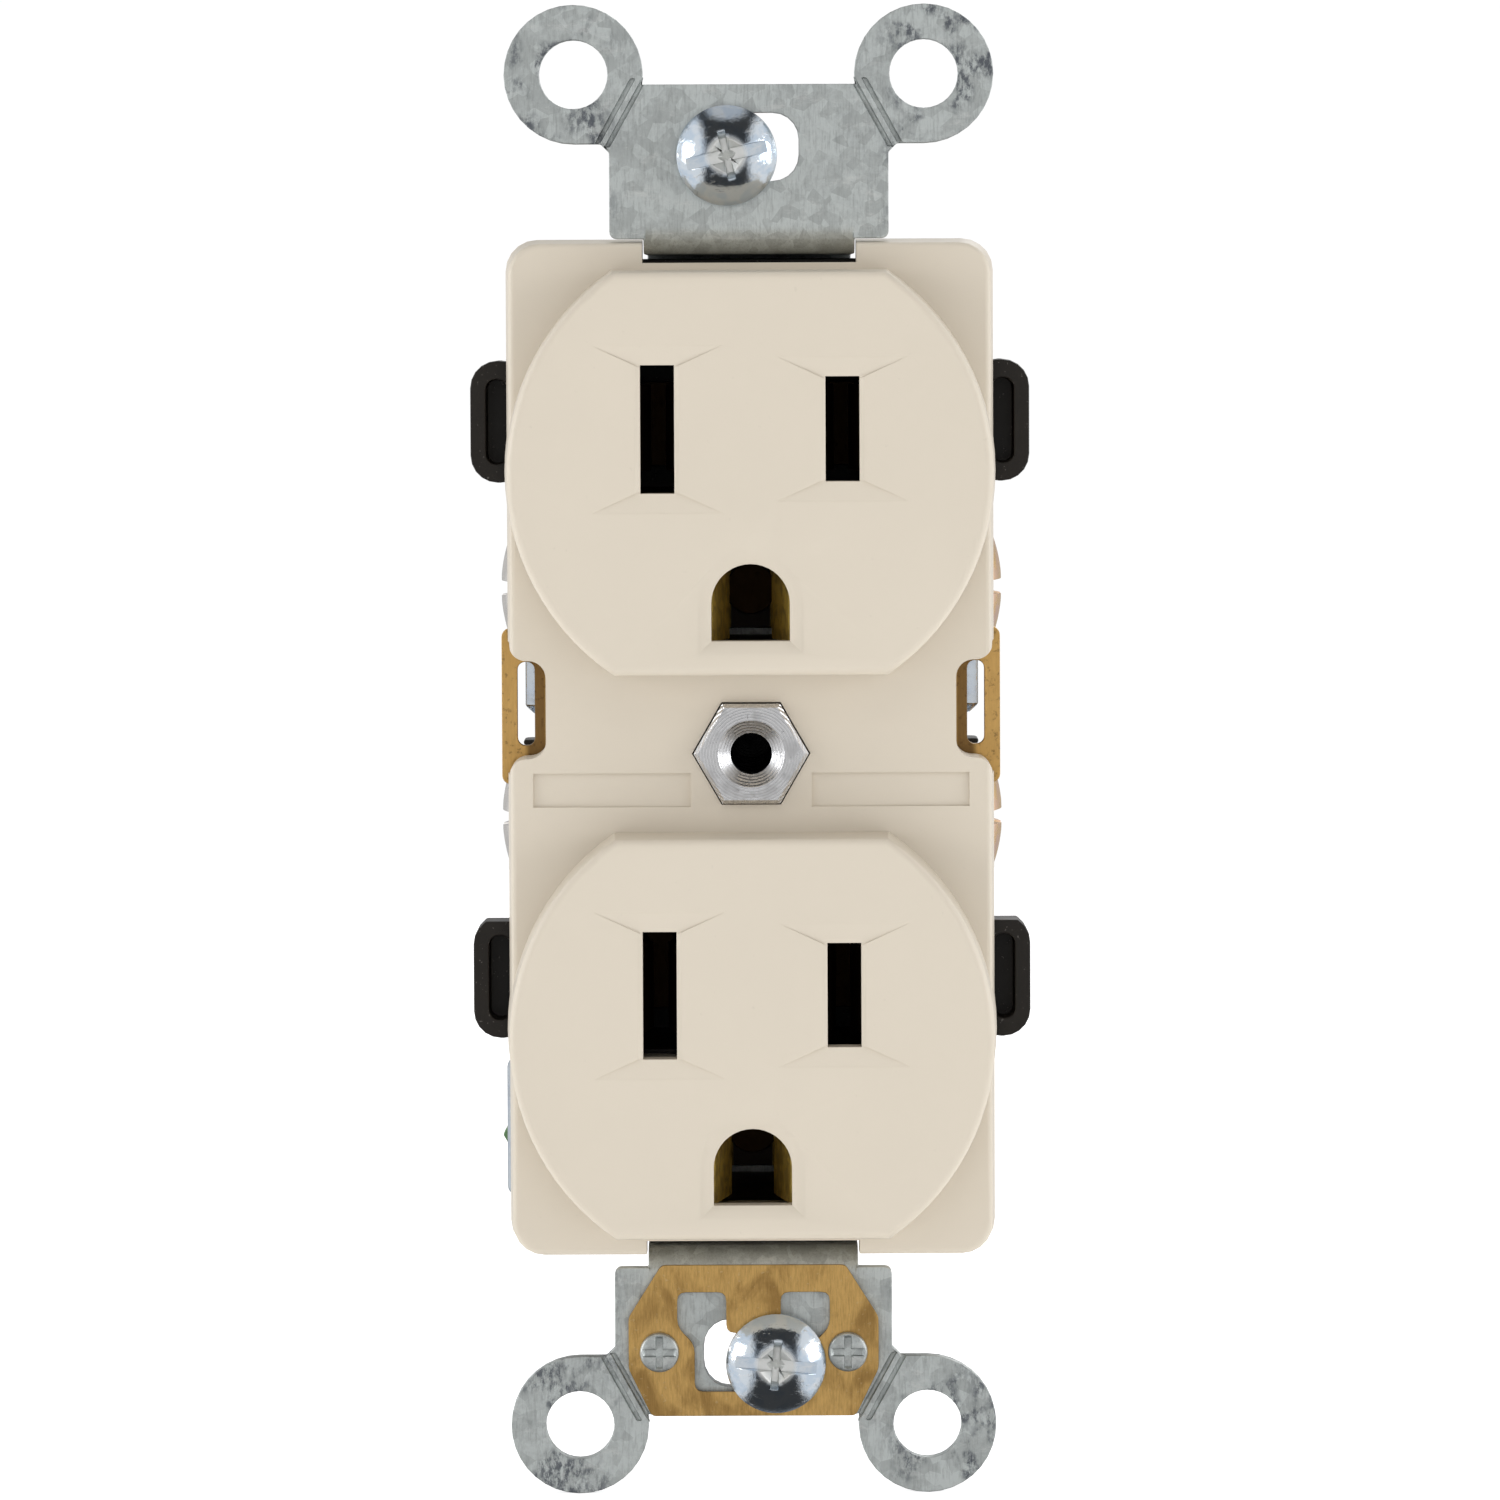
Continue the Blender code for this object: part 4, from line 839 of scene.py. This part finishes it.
def make_screw(node, outward, kind, turn, maker):
    """Head and thread of one screw, in place of its CAD node. turn is in degrees about its axis."""
    head_height = kind["rim"] + kind["rise"]
    bm = bmesh.new()
    lathe(bm, domed_head(kind["head_radius"], kind["rim"], kind["rise"]))
    screw = new_piece(node + "_finished", bm)
    cut_combination_drive(screw, head_height, kind)
    bm = bmesh.new()
    bm.from_mesh(screw.data)
    end = -shank_length(node, outward, head_height)
    thread(bm, kind["thread_radius"], THREAD_OVERLAP, end, kind["tip"])
    bmesh.ops.recalc_face_normals(bm, faces=bm.faces)
    bm.to_mesh(screw.data)
    bm.free()
    spin = facing(outward) @ Matrix.Rotation(math.radians(turn), 4, "Z")
    screw.matrix_world = Matrix.Translation(seat_of(node, outward, head_height)) @ spin
    round_edges(screw, SCREW_CORNER, SCREW_CORNER_ABOVE)
    even_shading(screw, MADE_WEIGHT)
    coat(screw, maker)
    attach(screw, node)
    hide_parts(node)
    return screw


def make_clip_rivet(node):
    """A rivet with a cross staked into its flat head, in place of its CAD node."""
    profile = [(0, RIVET_TOP), *RIVET_ROUND, (RIVET_RADIUS, 0), (RIVET_SHANK, 0)]
    profile += [(RIVET_SHANK, RIVET_TAIL[0])]
    profile += [(RIVET_TAIL_RADIUS, height) for height in RIVET_TAIL]
    profile += [(0, RIVET_TAIL[1])]
    bm = bmesh.new()
    lathe(bm, profile)
    rivet = new_piece(node + "_finished", bm)
    for mouth in (STAKE_HALF, STAKE_HALF[::-1]):
        floor = tuple(STAKE_FLOOR * part for part in mouth)
        bm = bmesh.new()
        wedge(bm, mouth, floor, RIVET_TOP + STAKE_ABOVE, RIVET_TOP - STAKE_DEPTH)
        carve(rivet, new_piece("stake", bm))
    seat = Matrix.Translation(seat_of(node, OUT_OF_WALL, RIVET_TOP))
    rivet.matrix_world = seat @ facing(OUT_OF_WALL)
    round_edges(rivet, RIVET_CORNER, RIVET_CORNER_ABOVE)
    even_shading(rivet, MADE_WEIGHT)
    coat(rivet, galvanised_steel)
    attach(rivet, "root")
    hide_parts(node)


# ---------------------------------------------------------------- operators


class OUTLET_OT_cover(bpy.types.Operator):
    """Finish the ivory cover with its two faces"""

    bl_idname = "outlet.cover"
    bl_label = "Face cover"

    def execute(self, context):
        keep_node("face_cover", ivory_plastic, 0)
        return {"FINISHED"}


class OUTLET_OT_body(bpy.types.Operator):
    """Finish the black body behind the cover"""

    bl_idname = "outlet.body"
    bl_label = "Back body"

    def execute(self, context):
        keep_node("back_body", black_plastic, sizes().plastic_edge)
        return {"FINISHED"}


class OUTLET_OT_strap(bpy.types.Operator):
    """Finish the steel strap with its ears"""

    bl_idname = "outlet.strap"
    bl_label = "Mounting strap"

    def execute(self, context):
        keep_node("mounting_strap", galvanised_steel, sizes().metal_edge)
        return {"FINISHED"}


class OUTLET_OT_clip(bpy.types.Operator):
    """Finish the earthing clip and its two rivets"""

    bl_idname = "outlet.clip"
    bl_label = "Earthing clip"

    def execute(self, context):
        keep_node("self_ground_clip", strip_brass, 0.5 * sizes().metal_edge)
        for side in ("left", "right"):
            make_clip_rivet("clip_rivet_" + side)
        return {"FINISHED"}


class OUTLET_OT_post(bpy.types.Operator):
    """Finish the hexagonal centre post"""

    bl_idname = "outlet.post"
    bl_label = "Centre post"

    def execute(self, context):
        keep_node("centre_post", turned_aluminium, 0)
        return {"FINISHED"}


class OUTLET_OT_bus_bars(bpy.types.Operator):
    """Finish the two brass bars with their break-off tabs"""

    bl_idname = "outlet.bus_bars"
    bl_label = "Bus bars"

    def execute(self, context):
        for side in OUTWARD:
            keep_node(side + "_bus_bar", contact_brass, sizes().metal_edge)
        return {"FINISHED"}


class OUTLET_OT_ground_contacts(bpy.types.Operator):
    """Finish the grips for the ground pins, and their rivets"""

    bl_idname = "outlet.ground_contacts"
    bl_label = "Ground contacts"

    def execute(self, context):
        for level in LEVELS:
            keep_node("ground_contact_" + level, grip_brass, sizes().metal_edge)
            keep_node("ground_rivet_" + level, contact_brass, sizes().metal_edge)
        return {"FINISHED"}


class OUTLET_OT_clamps(bpy.types.Operator):
    """Finish the wire clamp plates"""

    bl_idname = "outlet.clamps"
    bl_label = "Clamp plates"

    def execute(self, context):
        for side in OUTWARD:
            for level in LEVELS:
                keep_node(f"{side}_{level}_clamp", zinc_plate, sizes().metal_edge)
        keep_node("ground_clamp", zinc_plate, sizes().metal_edge)
        return {"FINISHED"}


class OUTLET_OT_terminal_screws(bpy.types.Operator):
    """Make the four terminal screws"""

    bl_idname = "outlet.terminal_screws"
    bl_label = "Terminal screws"

    def execute(self, context):
        makers = {"neutral": nickel_plate, "hot": screw_brass}
        for side, outward in OUTWARD.items():
            for level in LEVELS:
                name = f"{side}_{level}_screw"
                screw = make_screw(name, outward, TERMINAL_SCREW, TERMINAL_TURN, makers[side])
        return {"FINISHED"}


class OUTLET_OT_ground_screw(bpy.types.Operator):
    """Finish the green ground screw"""

    bl_idname = "outlet.ground_screw"
    bl_label = "Ground screw"

    def execute(self, context):
        keep_node("ground_screw", green_passivate, sizes().metal_edge)
        return {"FINISHED"}


class OUTLET_OT_mounting_screws(bpy.types.Operator):
    """Make the two captive screws for the wall box"""

    bl_idname = "outlet.mounting_screws"
    bl_label = "Mounting screws"

    def execute(self, context):
        for level, turn in zip(LEVELS, MOUNTING_TURNS):
            name = "mounting_screw_" + level
            screw = make_screw(name, OUT_OF_WALL, MOUNTING_SCREW, turn, zinc_screw)
        return {"FINISHED"}


class OUTLET_OT_keepers(bpy.types.Operator):
    """Finish the fibre squares that hold the mounting screws"""

    bl_idname = "outlet.keepers"
    bl_label = "Screw keepers"

    def execute(self, context):
        for level in LEVELS:
            keep_node("screw_keeper_" + level, red_fibre, 0.5 * sizes().metal_edge)
        return {"FINISHED"}


# ---------------------------------------------------------------- stage

WHITE = (1, 1, 1, 1)
FLOOR_GLOW = 0.62  # light that the paper gives off
FLOOR_HALF = 0.6
FLOOR_SQUARES = 8
CAMERA_DISTANCE = 553.8 * MM
CAMERA_PITCH = 3.3  # degrees down
CAMERA_ROLL = -0.24  # degrees
CAMERA_LENS = 191.7  # mm on a 36 mm sensor
CAMERA_AIM = Vector((-0.08 * MM, -1.3 * MM, 0.17 * MM))
LIGHTS = (
    # name, place, size, watts, colour, seen in reflections
    ("key", (-0.05, -0.75, 0.8), 0.6, 1.9, (1.0, 0.99, 0.97), False),
    ("overhead_softbox", (0.0, -0.2, 1.0), 0.5, 1.2, (1.0, 1.0, 1.0), False),
    ("left_softbox", (-0.95, -0.3, 0.15), 0.4, 2.4, (0.97, 0.98, 1.0), True),
    ("right_softbox", (0.95, -0.3, 0.15), 0.4, 2.4, (0.97, 0.98, 1.0), True),
    ("back_softbox", (0.3, 0.9, 0.6), 0.6, 2.2, (1.0, 1.0, 1.0), True),
)
ROOM_DARK = 0.05
BACKDROP = 1.02  # brightness of the room to the camera
ROOM_WALLS = {
    # brightness, and how far towards the wall it starts and is full
    "front": (0.72, 0.78, 0.93),
    "sides": (0.85, 0.52, 0.72),
    "above": (0.5, 0.86, 0.97),
    "behind": (0.5, 0.1, 0.5),
}


def add_light(name, place, size, watts, colour, reflected):
    """A square softbox at place, turned to the outlet."""
    lamp = bpy.data.lights.new(name, "AREA")
    lamp.shape = "SQUARE"
    lamp.size = size
    lamp.energy = watts
    lamp.color = colour
    made = bpy.data.objects.new(name, lamp)
    made.location = place
    made.rotation_euler = (-Vector(place)).to_track_quat("-Z", "Y").to_euler()
    made.visible_glossy = reflected
    bpy.context.scene.collection.objects.link(made)


def add_floor():
    """Paper under the lowest point of the outlet."""
    bm = bmesh.new()
    bmesh.ops.create_grid(bm, x_segments=FLOOR_SQUARES, y_segments=FLOOR_SQUARES, size=FLOOR_HALF)
    floor = new_piece("floor", bm)
    floor.location.z = CAD_BOX[0][2]
    coat(floor, floor_paint)
    floor.visible_glossy = False


def add_camera():
    """A long lens in front of the outlet, looking slightly down."""
    scene = bpy.context.scene
    lens = bpy.data.cameras.new("camera")
    lens.lens = CAMERA_LENS
    camera = bpy.data.objects.new("camera", lens)
    tilt = Matrix.Rotation(math.radians(90 - CAMERA_PITCH), 4, "X")
    back = tilt.to_3x3() @ Vector((0, 0, CAMERA_DISTANCE))
    roll = Matrix.Rotation(math.radians(CAMERA_ROLL), 4, "Z")
    camera.matrix_world = Matrix.Translation(CAMERA_AIM + back) @ tilt @ roll
    scene.collection.objects.link(camera)
    scene.camera = camera


def set_surround():
    """A studio that is dark between its bright front, sides and ceiling, and white to the camera."""
    world = bpy.data.worlds.new("studio_room")
    world.use_nodes = True
    nodes = Nodes(world.node_tree)
    place = nodes.node("ShaderNodeTexCoord", {}, {}, "Generated")
    across, depth, height = (
        nodes.node("ShaderNodeSeparateXYZ", {}, {"Vector": place}, axis) for axis in "XYZ"
    )
    towards = {"front": 0 - depth, "sides": abs(across), "above": height, "behind": depth}
    level = ROOM_DARK
    for wall, (brightness, start, full) in ROOM_WALLS.items():
        level = level + brightness * nodes.between(towards[wall], start, full)
    camera = nodes.node("ShaderNodeLightPath", {}, {}, "Is Camera Ray")
    background = world.node_tree.nodes["Background"]
    background.inputs["Color"].default_value = WHITE
    nodes.feed(background.inputs["Strength"], level * (1 - camera) + BACKDROP * camera)
    bpy.context.scene.world = world


class OUTLET_OT_stage(bpy.types.Operator):
    """Set up the floor, the lights and the camera"""

    bl_idname = "outlet.stage"
    bl_label = "Stage"

    def execute(self, context):
        add_floor()
        for light in LIGHTS:
            add_light(*light)
        set_surround()
        context.scene.view_settings.view_transform = "Standard"
        add_camera()
        return {"FINISHED"}


OPERATORS = (
    OUTLET_OT_cover,
    OUTLET_OT_body,
    OUTLET_OT_strap,
    OUTLET_OT_clip,
    OUTLET_OT_post,
    OUTLET_OT_bus_bars,
    OUTLET_OT_ground_contacts,
    OUTLET_OT_clamps,
    OUTLET_OT_terminal_screws,
    OUTLET_OT_ground_screw,
    OUTLET_OT_mounting_screws,
    OUTLET_OT_keepers,
    OUTLET_OT_stage,
)


class OUTLET_PT_sidebar(bpy.types.Panel):
    """Sizes, colours and the pieces of the outlet"""

    bl_idname = "OUTLET_PT_sidebar"
    bl_label = "Duplex wall outlet"
    bl_space_type = "VIEW_3D"
    bl_region_type = "UI"
    bl_category = "Outlet"

    def draw(self, context):
        for group in (context.scene.outlet_sizes, context.scene.outlet_colours):
            box = self.layout.box()
            for name in group.__annotations__:
                box.prop(group, name)
        for operator in OPERATORS:
            self.layout.operator(operator.bl_idname)


CLASSES = (OutletSizes, OutletColours, *OPERATORS, OUTLET_PT_sidebar)


def register():
    """Adds the settings, the operators and the sidebar to Blender."""
    for cls in CLASSES:
        bpy.utils.register_class(cls)
    bpy.types.Scene.outlet_sizes = PointerProperty(type=OutletSizes)
    bpy.types.Scene.outlet_colours = PointerProperty(type=OutletColours)


def unregister():
    """Takes them away again."""
    del bpy.types.Scene.outlet_colours
    del bpy.types.Scene.outlet_sizes
    for cls in reversed(CLASSES):
        bpy.utils.unregister_class(cls)


def main():
    """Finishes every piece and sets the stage."""
    register()
    for old in [o for o in bpy.data.objects if o.name in ("Cube", "Light", "Camera")]:
        bpy.data.objects.remove(old)
    for operator in OPERATORS:
        getattr(bpy.ops.outlet, operator.bl_idname.removeprefix("outlet."))()


if __name__ == "__main__":
    main()
